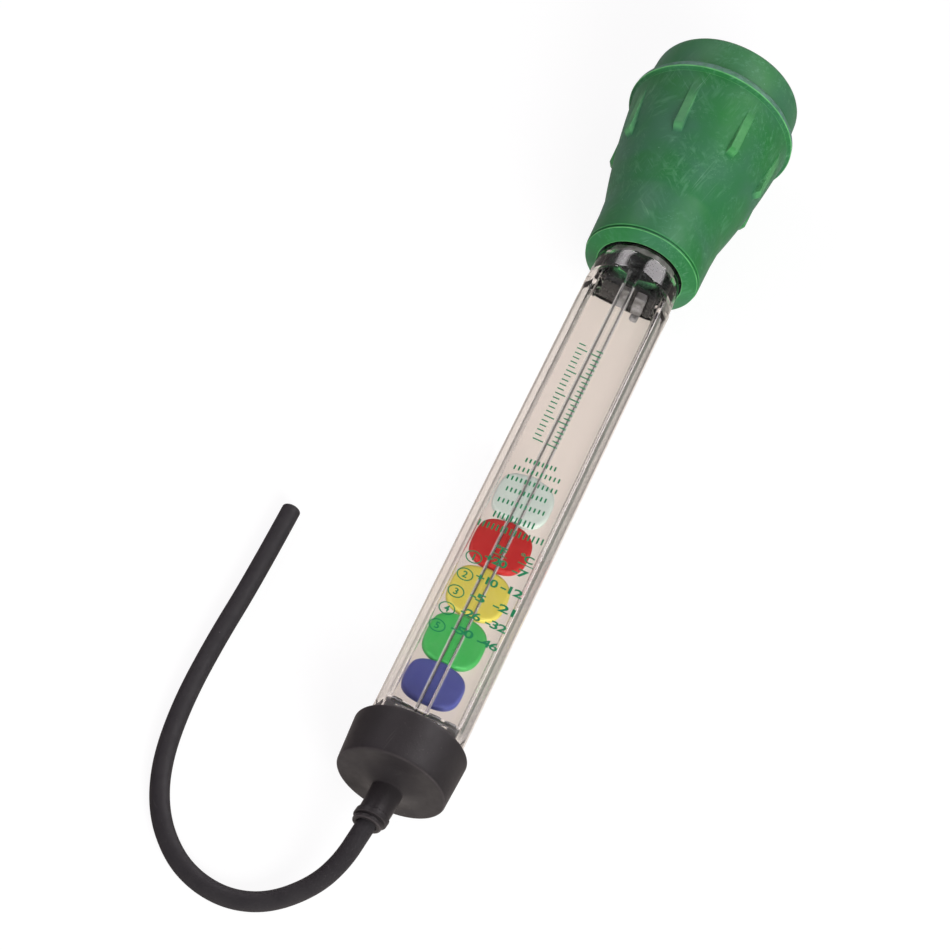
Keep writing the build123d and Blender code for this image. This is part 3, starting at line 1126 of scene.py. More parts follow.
    def outside(self) -> Surface:
        """The outer skin: at each angle, the least of three radii, rounded where they meet.

        They are the corner's own, the flat's height over cos(angle) and the side's width over sin(angle).
        The corner's radius falls to the collars' past either end of the flats.

        Returns:
            The skin, with its painted shade value.
        """
        along, radius = self.rows()
        squared = self.squared(along)[:, None]
        front, back = self.height(along, self.flats_end_at), self.height(along, self.back_flats_end_at)
        angle = self.angles(front, back)
        in_cap = along < self.flats_start_at - 8
        front, back = (np.where(in_cap, 3 * self.radius, height)[:, None] for height in (front, back))
        flat = np.where(np.cos(angle) > 0, front, back) / np.maximum(np.abs(np.cos(angle)), 1e-3)
        wide = self.side_width + self.collar_swell * (1 - squared)
        side = wide / np.maximum(np.abs(np.sin(angle)), 1e-3)
        corner = np.where(np.cos(angle) > 0, self.corner_radius, self.back_corner_radius)
        corner = radius[:, None] + squared * (corner - self.radius) + self.ripple(along, angle)
        reach = soft_least(corner, side, self.side_blend)
        reach = np.minimum(soft_least(reach, flat, self.corner_blend), corner)
        at_side, at_height = reach * np.sin(angle), reach * np.cos(angle)
        points = self.line.place(np.broadcast_to(along[:, None], angle.shape), at_side, at_height)
        faces = grid_faces(len(along), angle.shape[1], wrap=True)
        # Painted shade: dark bands near the side edges, which stand in for the dark lines that the clear wall
        # shows edge on
        tint = self.flank(at_side) * squared * (at_height > 5)
        return Surface(points.reshape(-1, 3), faces, {"flank": np.clip(tint, 0, 1).ravel()})

    def flank(self, side: np.ndarray) -> np.ndarray:
        """The painted shade on the skin, for how dark it looks edge on: a band at seam_side, more past it,
        and a thin line at the rim.
        """
        dark_band = 0.9 * self.bump(side, self.seam_side, 0.8) + 0.6 * smooth_step(-side, -self.seam_side, 13.4)
        return dark_band + 0.6 * self.bump(side, self.rim_side, 0.35)

    @staticmethod
    def bump(value: np.ndarray, middle: float, half: float) -> np.ndarray:
        """A soft hump: 1 at the middle, and 0 from half its width away."""
        return 1 - smooth_step(np.abs(value - middle), 0.0, half)

    def cavity_outline(self, gap: float = 0.0) -> np.ndarray:
        """The cavity's cross-section, with the rib that stands in from the front wall.

        Args:
            gap: How far inside the cavity's walls the outline keeps.

        Returns:
            Rows of side and height.
        """
        wide, tall, round_to = self.cavity_half_width - gap, self.cavity_half_height - gap, self.cavity_corner
        middle, half, foot = self.rib_side, self.rib_half_width + gap, self.rib_foot_half_width + gap
        low = tall - self.rib_depth
        drawn_in = wide - self.cavity_step
        corners = [
            (wide, -tall, round_to),
            (wide, self.cavity_step_low, self.cavity_step_round),
            (drawn_in, self.cavity_step_high, self.cavity_step_round),
            (drawn_in, tall, round_to),
            (middle + foot, tall, self.rib_foot_round),
            (middle + half, low, self.rib_corner),
            (middle - half, low, self.rib_corner),
            (middle - foot, tall, self.rib_foot_round),
            (-drawn_in, tall, round_to),
            (-drawn_in, self.cavity_step_high, self.cavity_step_round),
            (-wide, self.cavity_step_low, self.cavity_step_round),
            (-wide, -tall, round_to),
        ]
        return divided(rounded_path(corners, 9, closed=True), 1.5, closed=True)[:, :2]

    def inside(self) -> Surface:
        """The inner skin: the outline carried along the tool, then drawn out to the neck's round bore.

        Returns:
            The skin, whose painted shade value darkens the rib's sides near its tip, for the dark lines along
            it.
        """
        outline = self.cavity_outline()
        angle = np.arctan2(outline[:, 0], outline[:, 1])
        circle = self.bore_radius * np.stack([np.sin(angle), np.cos(angle)], axis=1)
        along = np.concatenate([
            np.linspace(self.foot_at, self.cavity_end_at, 60),
            np.linspace(self.cavity_end_at + 0.8, self.neck_end_at, 8),
        ])
        opened = (along > self.cavity_end_at)[:, None, None]
        section = np.where(opened, circle[None], outline[None])
        points = self.line.place(along[:, None], section[..., 0], section[..., 1])
        faces = grid_faces(len(along), len(outline), wrap=True)
        # Painted shade: dark lines on the rib's sides near its tip
        tint = self.bump(np.abs(section[..., 0] - self.rib_side), self.rib_half_width - 0.15, 0.4)
        tint = tint * (section[..., 1] > 4) * (section[..., 1] < 6.6) * ~opened[..., 0]
        return Surface(points.reshape(-1, 3), faces, {"flank": tint.ravel()})

    def frost(self) -> bpy.types.Object:
        """The rib's painted highlight lines: a narrow pale strip on the front wall along each side of the
        rib, for the light lines there.

        Returns:
            The piece.
        """
        along = np.linspace(*self.frost_ends, 60)
        near = self.rib_foot_half_width + self.frost_gap
        far = near + self.frost_width
        side = self.rib_side + np.array([near, far, -far, -near])
        low = self.cavity_half_height - self.frost_depth
        points = self.line.place(along[:, None], side[None, :], np.array(low))
        rows = np.arange(len(along) - 1)[:, None] * len(side) + np.array([[0, 1, 5, 4]])
        faces = np.concatenate([rows, rows + 2]).tolist()
        piece = Surface(points.reshape(-1, 3), faces, {}).to_object("rib_painted_highlight_lines")
        return carried(dress(piece, self.frosted), BODY, "barrel")

    def build(self) -> bpy.types.Object:
        """Make the barrel: the two skins, joined by a ring at each end.

        Returns:
            The piece.
        """
        self.frost()
        mesh = self.outside().joined(self.inside()).to_mesh("clear_barrel")
        work = bmesh.new()
        work.from_mesh(mesh)
        open_edges = [edge for edge in work.edges if edge.is_boundary]
        middle = self.line.place(np.array(self.flats_end_at / 2), np.array(0.0), np.array(0.0))
        for side in (1, -1):
            way = side * self.line.way
            ring = [edge for edge in open_edges if (np.array(edge.verts[0].co) - middle) @ way > 0]
            bmesh.ops.bridge_loops(work, edges=ring)
        bmesh.ops.recalc_face_normals(work, faces=work.faces)
        work.to_mesh(mesh)
        work.free()
        piece = smoothed("clear_barrel", mesh, sharp=32)
        return carried(dress(piece, self.material), BODY, "barrel")


@dataclass
class FloatStops:
    """The two black mouldings that keep the discs in the barrel."""

    line: ToolLine
    material: bpy.types.Material
    smoky: bpy.types.Material
    barrel: Barrel
    gap: float = 0.15
    lower_end_at: float = 21.3
    spigot_ends: tuple[float, float, float] = (212.0, 215.6, 217.6)
    spigot_radius: float = 10.8
    spigot_bore: float = 6.2
    ring_gap: float = 0.02
    plug_edge: float = 0.8
    block_corner: float = 0.9
    # Each block's sides, heights and ends, in millimetres, and the radius of its rounded ends
    lower_nubs: tuple[Row, ...] = (
        (3.4, 11.6, -7.4, 6.0, 20.0, 23.4, 1.6),
        (-5.4, -0.9, -7.4, -2.6, 20.0, 28.2, 1.6),
        (7.4, 11.0, 3.0, 7.45, 18.0, 23.6, 0.6),
        (-11.0, -6.8, 3.0, 7.45, 18.0, 23.2, 0.6),
    )
    upper_blocks: tuple[Row, ...] = (
        (-10.0, 9.4, -7.4, 5.4, 205.8, 212.6, 0.6),
        (3.5, 9.4, -2.4, 7.5, 202.2, 212.6, 0.4),
        (-9.2, -7.0, -4.0, 7.5, 202.6, 212.6, 0.8),
    )
    upper_tongues: tuple[Row, ...] = (
        (-6.6, -2.7, -4.2, 4.8, 202.2, 206.4, 0.5),
        (-6.3, -3.4, -7.4, -5.2, 201.4, 205.0, 0.4),
        (-0.9, 3.0, -6.8, 3.8, 203.6, 206.4, 0.6),
    )

    def blocks(self, sizes: Sequence[Row]) -> Surface:
        """Several rounded blocks as one surface.

        Args:
            sizes: Each block's sides, heights, ends and rounding.

        Returns:
            The blocks.
        """
        made = None
        for low, high, bottom, top, start, end, edge in sizes:
            spots = ((high, bottom), (high, top), (low, top), (low, bottom))
            corners = [(*spot, self.block_corner) for spot in spots]
            outline = divided(rounded_path(corners, 7, closed=True), 1.5, closed=True)[:, :2]
            one = block(self.line, outline, start, end, edge)
            made = one if made is None else made.joined(one)
        return made

    def lower(self) -> bpy.types.Object:
        """Make the plug in the barrel's foot, with the soft nubs that the lowest disc rests on.

        Returns:
            The piece.
        """
        outline = self.barrel.cavity_outline(self.gap)
        plug = block(self.line, outline, self.barrel.foot_at, self.lower_end_at, self.plug_edge)
        made = plug.joined(self.blocks(self.lower_nubs))
        piece = dress(made.to_object("lower_stop_plug"), self.smoky)
        return carried(piece, BODY, "lower_float_stop")

    def ring(self, start: float, end: float) -> Surface:
        """A length of the ring that stands in the neck's bore.

        Args:
            start: Its end towards the discs.
            end: Its end towards the bulb.

        Returns:
            The ring, turned from a rectangle with soft corners.
        """
        corners = [
            (start, self.spigot_bore, 0.0),
            (start, self.spigot_radius, 0.0),
            (end, self.spigot_radius, 0.5),
            (end, self.spigot_bore, 0.4),
            (start, self.spigot_bore, 0.0),
        ]
        return turned(self.line, divided(rounded_path(corners, 6), 2.0), even_angles(96))

    def upper(self) -> bpy.types.Object:
        """Make the plug at the cavity's top, with its two legs towards the discs and its ring at the neck.

        Returns:
            The piece that holds the plug.
        """
        foot, middle, end = self.spigot_ends
        plug = self.blocks(self.upper_blocks).joined(self.ring(foot, middle))
        piece = dress(plug.to_object("upper_stop_plug"), self.material)
        tongues = self.blocks(self.upper_tongues).joined(self.ring(middle + self.ring_gap, end))
        smoky = dress(tongues.to_object("upper_stop_tongues"), self.smoky)
        carried(smoky, BODY, "upper_float_stop")
        return carried(piece, BODY, "upper_float_stop")

    def build(self) -> None:
        """Make both stops."""
        self.lower()
        self.upper()


@dataclass
class FloatDisc:
    """One loose disc, a flat button with rounded edges."""

    line: ToolLine
    material: bpy.types.Material
    colour_name: str
    centre_at: float
    radius: float = 9.5
    widening: float = 1.042
    squareness: float = 2.7
    thickness: float = 3.2
    side: float = 1.65
    bottom: float = -7.4
    edge: float = 1.2
    crown: float = 0.12
    tilt: float = 0.0
    columns: int = 96

    def build(self) -> bpy.types.Object:
        """Make the disc, a rounded square whose faces are slightly crowned.

        At angle t, the radius is the disc's over (|cos t|^n + |sin t|^n)^(1/n), where n is its squareness.
        It may stand with its lower end raised: it is turned by its tilt about its upper end's bottom edge.

        Returns:
            The piece.
        """
        half, radius, edge = self.thickness / 2, self.radius, self.edge
        corners = [(0, half, 0), (radius, half, edge), (radius, -half, edge), (0, -half, 0)]
        outline = divided(rounded_path(corners, 10), 1.0)
        turn = even_angles(self.columns)
        power = self.squareness
        square = (np.abs(np.cos(turn)) ** power + np.abs(np.sin(turn)) ** power) ** (-1 / power)
        radius = outline[:, :1] * square[None, :]
        share = outline[:, :1] / self.radius
        rise = outline[:, 1:2] - np.sign(outline[:, 1:2]) * self.crown * share**2
        away, above = radius * np.cos(turn) - self.radius, rise + half
        tip = math.radians(self.tilt)
        points = self.line.place(
            self.centre_at + self.radius + away * math.cos(tip) + above * math.sin(tip),
            self.side + self.widening * radius * np.sin(turn),
            self.bottom - away * math.sin(tip) + above * math.cos(tip),
        )
        edge = np.repeat(outline[:, 2:3], len(turn), axis=1)
        faces = grid_faces(len(outline), len(turn), wrap=True)
        surface = Surface(points.reshape(-1, 3), faces, {"edge": edge.ravel()})
        piece = surface.to_object(f"{self.colour_name}_disc_button")
        dress(piece, self.material)
        return carried(piece, f"{self.colour_name}_disc", f"float_disc_{self.colour_name}")


@dataclass
class DiscRow:
    """The five discs, from the cap up."""

    line: ToolLine
    finishes: Finishes
    first_at: float = 37.9
    pitch: float = 19.55
    tilts: tuple[float, ...] = (16.0, 0.0, 0.0, 0.0, 0.0)
    names: tuple[str, ...] = ("blue", "green", "yellow", "red", "clear")

    def build(self) -> None:
        """Make each disc in its own colour."""
        for index, (name, tilt) in enumerate(zip(self.names, self.tilts)):
            material = self.finishes.disc(name).build()
            FloatDisc(self.line, material, name, self.first_at + index * self.pitch, tilt=tilt).build()


@dataclass
class SqueezeBulb:
    """The green rubber bulb: lip, neck, finned cone, bead and crown over a hollow chamber."""

    line: ToolLine
    material: bpy.types.Material
    mouth_at: float = 216.9
    mouth_radius: float = 15.45
    lip_at: float = 218.9
    lip_radius: float = 20.35
    lip_length: float = 0.7
    groove: float = 0.5
    groove_radius: float = 19.7
    inner_radius: float = 15.0
    inner_end_at: float = 224.0
    bore_radius: float = 13.45
    neck_radius: float = 20.7
    waist_at: float = 240.7
    waist_radius: float = 21.5
    bead_at: float = 287.2
    cone_radius: float = 28.9
    cone_bulge: float = 0.9
    bead_radius: float = 30.4
    bead_length: float = 4.6
    crown_foot_radius: float = 27.6
    crown_radius: float = 26.7
    end_at: float = 307.4
    crown_edge: float = 3.0
    wall: float = 2.8
    ledge_at: float = 241.85
    ledge_radius: float = 11.6
    fin_count: int = 8
    fin_first_angle: float = -20.0
    fin_foot_at: float = 262.2
    fin_head_at: float = 284.2
    fin_foot_radius: float = 27.9
    fin_head_radius: float = 28.6
    fin_foot_width: float = 3.1
    fin_head_width: float = 2.9
    fin_slope: float = 0.35
    fin_half_angle: float = 0.085
    fin_columns: tuple[int, int] = (25, 14)

    def cone(self, along: np.ndarray) -> np.ndarray:
        """The cone's radius: a line from waist to bead, and 4 bulge s (1 - s) more at the share s of it.

        Args:
            along: Places along the tool.

        Returns:
            The radius at each place.
        """
        share = (along - self.waist_at) / (self.bead_at - self.waist_at)
        line = self.waist_radius + share * (self.cone_radius - self.waist_radius)
        return line + 4 * self.cone_bulge * share * (1 - share)

    def outline(self) -> np.ndarray:
        """The shell's outline, from the crown's middle round the outside to the chamber's end.

        Returns:
            Rows of along, radius and edge.
        """
        crown_at = self.bead_at + self.bead_length
        inner_end = self.end_at - self.wall
        # The fourth numbers are edge values, which lighten the edges, partly as wear and partly as painted
        # highlight
        corners = [
            (self.end_at, 0.0, 0.0),
            (self.end_at, self.crown_radius, self.crown_edge, 0.1),
            (crown_at + 0.2, self.crown_foot_radius, 0.5, 0.0),
            (crown_at + 0.2, self.crown_foot_radius + 1.2, 0.4, 0.4),
            (crown_at - 0.6, self.crown_foot_radius + 1.6, 0.3, 0.3),
            (crown_at - 1.6, self.bead_radius - 0.3, 0.6, 0.4),
            (self.bead_at + 1.1, self.bead_radius, 0.5, 1.3),
            (self.bead_at + 0.6, self.bead_radius - 1.0, 0.2, 0.0),
            (self.bead_at, self.cone_radius + 0.1, 0.4, 0.7),
        ]
        spots = np.linspace(self.bead_at, self.waist_at, 26)[1:-1]
        cone = [(spot, self.cone(spot), 0.0) for spot in spots]
        groove_at = self.lip_at + self.lip_length
        neck_at = groove_at + self.groove
        neck = [
            (self.waist_at, self.waist_radius, 0.0),
            (self.waist_at - 8.0, self.waist_radius - 0.55, 0.0),
            (neck_at, self.neck_radius, 0.3, 0.5),
            (neck_at, self.groove_radius, 0.15, 0.0),
            (groove_at, self.groove_radius, 0.15, 0.0),
            (groove_at, self.lip_radius, 0.25, 0.6),
            (self.lip_at, self.lip_radius, 0.35, 1.3),
            (self.mouth_at, self.mouth_radius, 0.3, 1.3),
            (self.mouth_at + 1.2, self.inner_radius, 0.4, 0.0),
            (self.inner_end_at, self.inner_radius, 0.3, 0.0),
            (self.inner_end_at + 0.8, self.bore_radius, 0.3, 0.0),
            (self.ledge_at, self.bore_radius, 0.0),
            (self.ledge_at, self.ledge_radius, 0.0),
            (self.ledge_at + 2, self.ledge_radius, 0.0),
            (self.waist_at + 4, self.waist_radius - 3.4, 0.0),
            (self.bead_at, self.cone_radius - self.wall, 0.0),
            (inner_end, self.crown_radius - self.wall, self.crown_edge),
            (inner_end, 0.0, 0.0),
        ]
        return divided(rounded_path([*corners, *cone, *neck], 7), 1.2)

    def fin_angles(self) -> np.ndarray:
        """The fins' angles, evenly spaced, counted from straight up towards +Y."""
        return -np.radians(self.fin_first_angle) + even_angles(self.fin_count)

    def columns(self) -> np.ndarray:
        """The columns' angles, crowded over each fin.

        Returns:
            The angles, in radians.
        """
        step = 2 * math.pi / self.fin_count
        half = self.fin_half_angle
        on_fin, between = self.fin_columns
        across = np.concatenate([
            np.linspace(-half, half, on_fin),
            np.linspace(half, step - half, between)[1:-1],
        ])
        return (self.fin_angles()[:, None] + across[None, :]).ravel()

    def swell(self, along: np.ndarray, radius: np.ndarray, angle: np.ndarray) -> np.ndarray:
        """What stands out from the turned outline: the fins, and a slight unevenness of the soft wall.

        A fin's top is a straight line from its foot to its head. Across, it falls over a short slope
        at half its width, and below its foot over another. The unevenness is
        0.07 sin(3a + x / 17) + 0.05 sin(5a - x / 9 + 1.3) at angle a and place x.

        Args:
            along: The grid of places along the tool.
            radius: The outline's radius on that grid.
            angle: The grid of angles.

        Returns:
            What to add to the radius.
        """
        share = (along - self.fin_foot_at) / (self.fin_head_at - self.fin_foot_at)
        top = self.fin_foot_radius + share * (self.fin_head_radius - self.fin_foot_radius)
        widening = np.clip(share, 0, 1) * (self.fin_head_width - self.fin_foot_width)
        half_width = (self.fin_foot_width + widening) / 2
        step = 2 * math.pi / self.fin_count
        turn = (angle + np.radians(self.fin_first_angle) + step / 2) % step - step / 2
        across = np.abs(turn) * self.fin_foot_radius
        shape = 1 - smooth_step(across - half_width, 0.0, self.fin_slope)
        foot = smooth_step(along, self.fin_foot_at - 0.5, self.fin_foot_at + 0.2)
        fins = np.maximum(top - radius, 0) * shape * foot
        fins = np.where((radius > self.cone(along) - 1.0) & (along < self.bead_at), fins, 0)
        ripple = 0.07 * np.sin(3 * angle + along / 17) + 0.05 * np.sin(5 * angle - along / 9 + 1.3)
        soft = smooth_step(along, self.lip_at + 4, self.waist_at) * (radius > self.waist_radius)
        return fins + ripple * soft

    def wear(self, surface: Surface, outline: np.ndarray) -> None:
        """Light the fins' tops through the edge value as painted highlight, mark the bead's band as rubbed,
        and darken what lies past the mouth through the inner value as painted shade.

        Args:
            surface: The bulb's surface, whose values are changed.
            outline: The outline that it was turned from.
        """
        along, angle = np.meshgrid(outline[:, 0], self.columns(), indexing="ij")
        radius = np.repeat(outline[:, 1:2], angle.shape[1], axis=1)
        # Painted highlight: the fins' tops take the lighter edge colour
        on_fin = np.clip(self.swell(along, radius, angle) / 0.6, 0, 1) ** 2
        surface.values["edge"] = np.maximum(surface.values["edge"], 0.45 * on_fin.ravel())
        on_bead = (along > self.bead_at + 1.3) & (along < self.bead_at + self.bead_length)
        surface.values["rubbed"] = (on_bead & (radius > self.cone_radius)).astype(float).ravel()
        # Painted shade: all that lies past the mouth takes the dark inner colour
        past_mouth = np.arange(len(outline)) > np.argmin(outline[:, 0]) + 3
        surface.values["inner"] = np.repeat(past_mouth.astype(float), angle.shape[1])

    def build(self) -> bpy.types.Object:
        """Make the bulb.

        Returns:
            The piece.
        """
        outline = self.outline()
        surface = turned(self.line, outline, self.columns(), self.swell)
        self.wear(surface, outline)
        piece = dress(surface.to_object("rubber_bulb", sharp=50), self.material)
        return carried(piece, BODY, "squeeze_bulb")


@dataclass
class SuctionHose:
    """The free hose, from the stem's socket round its loop to its cut end."""

    line: ToolLine
    material: bpy.types.Material
    radius: float = 3.15
    bore: float = 2.0
    length: float = 220.2
    seat_at: float = -4.5
    first_run: float = 13.7
    stem_lean: float = 1.45
    cut_depth: float = 6.0
    cut_round: float = 0.35
    columns: int = 32
    points: tuple[tuple[float, float, float], ...] = (
        (-28.7, 3.0, 13.6),
        (-37.2, 7.5, 8.2),
        (-46.2, 17.0, 4.2),
        (-50.7, 28.0, 3.2),
        (-50.2, 39.5, 3.2),
        (-45.2, 50.0, 3.2),
        (-34.2, 60.0, 3.2),
        (-18.2, 66.5, 3.2),
        (3.8, 69.5, 3.2),
        (28.8, 69.7, 3.2),
        (55.8, 68.5, 3.2),
        (85.7, 68.5, 3.2),
    )

    def route(self) -> np.ndarray:
        """The hose's control points: two in and past the stem, and the rest counted from the cap.

        Returns:
            The points, in metres.
        """
        ends = np.array([self.seat_at, self.seat_at - self.first_run])
        straight = self.line.place(ends, np.array([0.0, self.stem_lean]), np.zeros(2))
        free = np.array(self.points) * MM + np.array([self.line.foot[0], 0.0, 0.0])
        return np.concatenate([straight, free])

    def centreline(self) -> np.ndarray:
        """The smooth line through the route, as Blender's own spline gives it.

        Returns:
            Its points, in metres.
        """
        route = self.route()
        curve = bpy.data.curves.new("hose_route", "CURVE")
        curve.dimensions = "3D"
        curve.resolution_u = 24
        spline = curve.splines.new("NURBS")
        spline.points.add(len(route) - 1)
        spline.points.foreach_set("co", np.concatenate([route, np.ones((len(route), 1))], axis=1).ravel())
        spline.order_u = 3
        spline.use_endpoint_u = True
        mesh, points = drawn("hose_route", curve)
        bpy.data.meshes.remove(mesh)
        return points.astype(float)

    def surface(self, centre: np.ndarray) -> Surface:
        """The tube: circles square to the centreline, each carried on from the last without twist.

        Past the last circle, the outline rounds the cut end and turns back into the bore by cut_depth.

        Args:
            centre: The centreline's points, in metres.

        Returns:
            The tube, closed at both ends.
        """
        way = np.gradient(centre, axis=0)
        way /= np.linalg.norm(way, axis=1)[:, None]
        sides = [np.array([0.0, 1.0, 0.0])]
        for step in way[1:]:
            side = sides[-1] - step * (sides[-1] @ step)
            sides.append(side / np.linalg.norm(side))
        side = np.array(sides)
        top = np.cross(way, side)
        turn = even_angles(self.columns)
        ring = np.cos(turn)[None, :, None] * side[:, None] + np.sin(turn)[None, :, None] * top[:, None]
        outer = centre[:, None] + ring * self.radius * MM
        end, end_way, end_ring = centre[-1], way[-1], ring[-1]
        bend = np.linspace(0, math.pi / 2, 6)[1:]
        lip = self.cut_round
        cut = [
            end + end_way * MM * (lip * math.sin(angle) - lip)
            + end_ring * MM * (self.radius - lip * (1 - math.cos(angle)))
            for angle in bend
        ]
        inner = [
            end + end_ring * MM * (self.bore + 0.1),
            end - end_way * MM * 0.15 + end_ring * MM * self.bore,
            end - end_way * MM * self.cut_depth + end_ring * MM * self.bore,
            end - end_way * MM * self.cut_depth + end_ring * 0,
        ]
        outer[-1] = end - end_way * MM * lip + end_ring * MM * self.radius
        start = (centre[0] + ring[0] * 0)[None]
        points = np.concatenate([start, outer, np.array(cut), np.array(inner)])
        faces = grid_faces(len(points), self.columns, wrap=True)
        return Surface(points.reshape(-1, 3), faces)

    def build(self) -> bpy.types.Object:
        """Returns:
            The piece.
        """
        centre = self.centreline()
        piece = dress(self.surface(centre).to_object("rubber_hose"), self.material)
        carried(piece, BODY, "suction_hose")
        leaves = self.line.place(np.array(self.seat_at), np.array(0.0), np.array(0.0))
        return piece


@dataclass
class Scale:
    """The plain scale printed on the front flat: numbers, ringed keys and rules."""

    line: ToolLine
    material: bpy.types.Material
    height: float = 11.004
    thickness: float = 0.02
    figure_height: float = 2.9
    boldness: float = 0.075
    figure_spacing: float = 0.86
    ring_half_width: float = 2.75
    ring_half_height: float = 2.35
    ring_stroke: float = 0.42
    # Each figure's place along the tool, and the sides that it runs between
    left: tuple[Figure, ...] = (
        ("+20", 81.5, 4.2, -3.4), ("+10", 73.6, 4.0, -3.5), ("-5", 66.7, 3.0, -2.0), ("-26", 60.0, 3.5, -3.2),
        ("-50", 53.0, 3.8, -3.5),
    )
    right: tuple[Figure, ...] = (
        ("-7", 81.2, -5.4, -10.7), ("-12", 73.9, -4.5, -12.0), ("-21", 66.7, -4.8, -12.1),
        ("-32", 59.9, -4.9, -12.1), ("-46", 52.7, -5.1, -12.0),
    )
    # Each ringed key's place and side
    keys: tuple[tuple[float, float], ...] = ((79.4, 7.2), (72.3, 7.3), (65.3, 7.5), (58.3, 7.7), (51.3, 8.1))
    key_height: float = 2.5
    heads: tuple[Figure, ...] = (("°F", 86.0, 2.4, -1.6), ("°C", 87.0, -5.8, -10.5))
    # Each rule's place along the tool, the sides that it runs between and its width
    rules: tuple[Row, ...] = ((84.0, 2.6, -2.3, 0.35), (84.6, -5.9, -11.2, 0.35))
    # Each row of short marks: its place, the sides that it runs between and the marks' length
    combs: tuple[Row, ...] = (
        (93.6, 10.6, -10.2, 2.5), (98.4, 7.4, -5.4, 2.5), (104.2, 8.2, -6.6, 1.8), (109.1, 7.4, -5.4, 1.8),
        (113.6, 8.8, -7.2, 1.8), (117.9, 8.2, -6.6, 1.8), (121.9, 5.8, -3.8, 1.8),
    )
    comb_pitch: float = 1.45
    comb_width: float = 0.55
    comb_slant: float = 0.14
    tick_start_at: float = 130.0
    tick_end_at: float = 174.0
    tick_pitch: float = 2.0
    tick_width: float = 0.5
    ticks_to_long: int = 5
    # Each column of ticks: its name, and the sides that a long one starts from and reaches
    tick_columns: tuple[tuple[str, float, float], ...] = (
        ("left_ticks", 7.2, 3.6), ("right_ticks", -1.4, 2.2),
    )
    short_tick_gap: float = 0.35

    def flat_object(self, name: str, mesh: bpy.types.Mesh) -> bpy.types.Object:
        """Make a printed mark of a mesh, dress it in ink and let it ride on the barrel."""
        return carried(dress(linked(name, mesh), self.material), BODY)

    def figure(
        self, name: str, text: str, along: float, sides: tuple[float, float], tall: float
    ) -> bpy.types.Object:
        """One number as a thin solid that lies on the flat.

        Args:
            name: The piece's name.
            text: What it says.
            along: Its middle, along the tool.
            sides: The sides that it runs between, or the same one twice for its own width there.
            tall: Its height.

        Returns:
            The piece.
        """
        curve = bpy.data.curves.new(name, "FONT")
        curve.body = text
        curve.size = self.figure_height * MM
        curve.extrude = self.thickness * MM / 2
        curve.offset = self.boldness * MM
        curve.resolution_u = 5
        curve.space_character = self.figure_spacing
        mesh, points = drawn(name + "_text", curve)
        low, high = points.min(axis=0), points.max(axis=0)
        span = (high - low)[:2].astype(float)
        grow = tall * MM / span[1]
        fitted = Matrix.Diagonal((abs(sides[0] - sides[1]) * MM / span[0] or grow, grow, 1, 1))
        centred = Matrix.Translation([-float(value) for value in (low + high) / 2])
        placed = self.line.matrix(along, sum(sides) / 2, self.height + self.thickness / 2)
        mesh.transform(placed @ fitted @ centred)
        return self.flat_object(name, mesh)

    def shape(self, name: str, along: np.ndarray, side: np.ndarray, faces: list) -> bpy.types.Object:
        """A flat mark on the front flat.

        Args:
            name: The piece's name.
            along: Its points' places along the tool.
            side: Its points' sides.
            faces: Its faces, as rows of point numbers.

        Returns:
            The piece.
        """
        points = self.line.place(along, side, np.array(self.height + self.thickness))
        return self.flat_object(name, Surface(points, faces).to_mesh(name))

    def ring(self, name: str, along: float, side: float) -> bpy.types.Object:
        """An oval ring: an ellipse, and another inside it by the stroke.

        Args:
            name: The piece's name.
            along: Its middle, along the tool.
            side: Its middle's side.

        Returns:
            The piece.
        """
        turn = even_angles(48)
        inset = np.array([0.0, self.ring_stroke])[:, None]
        places = along + (self.ring_half_height - inset) * np.cos(turn)
        sides = side + (self.ring_half_width - inset) * np.sin(turn)
        return self.shape(name, places.ravel(), sides.ravel(), grid_faces(2, len(turn), wrap=True))

    def bars(self, name: str, rows: Sequence[Row]) -> bpy.types.Object:
        """Several straight bars across the tool, as one mark.

        Args:
            name: The piece's name.
            rows: Each bar's place along the tool, the sides that it runs between and its width.

        Returns:
            The piece.
        """
        table = np.array(rows)
        along = table[:, :1] + table[:, 3:4] * np.array([-0.5, -0.5, 0.5, 0.5])
        side = table[:, [1, 2, 2, 1]]
        faces = np.arange(4 * len(table)).reshape(-1, 4).tolist()
        return self.shape(name, along.ravel(), side.ravel(), faces)

    def ticks(self) -> None:
        """Rule two columns of ticks up the barrel, of which every fifth is long."""
        places = np.arange(self.tick_start_at, self.tick_end_at, self.tick_pitch)
        for name, left, right in self.tick_columns:
            short = right + self.short_tick_gap * (left - right)
            rows = [
                (float(place), left, short if index % self.ticks_to_long else right, self.tick_width)
                for index, place in enumerate(places)
            ]
            self.bars(name, rows)

    def comb_rows(self) -> None:
        """Mark each row of short strokes, evenly spaced between its two sides."""
        for number, (along, left, right, length) in enumerate(self.combs, start=1):
            sides = np.linspace(left, right, round((left - right) / self.comb_pitch) + 1)
            half = self.comb_width / 2
            rows = [
                (along - self.comb_slant * float(side), float(side) + half, float(side) - half, length)
                for side in sides
            ]
            self.bars(f"comb_{number}", rows)

    def build(self) -> None:
        """Print the whole scale."""
        for column, figures in (("left", self.left), ("right", self.right), ("head", self.heads)):
            for index, (text, along, start, end) in enumerate(figures, start=1):
                self.figure(f"scale_{column}_{index}", text, along, (start, end), self.figure_height)
        for index, (along, side) in enumerate(self.keys, start=1):
            self.figure(f"scale_key_{index}", str(index), along, (side, side), self.key_height)
            self.ring(f"scale_ring_{index}", along, side)
        self.bars("scale_rules", self.rules)
        self.comb_rows()
        self.ticks()


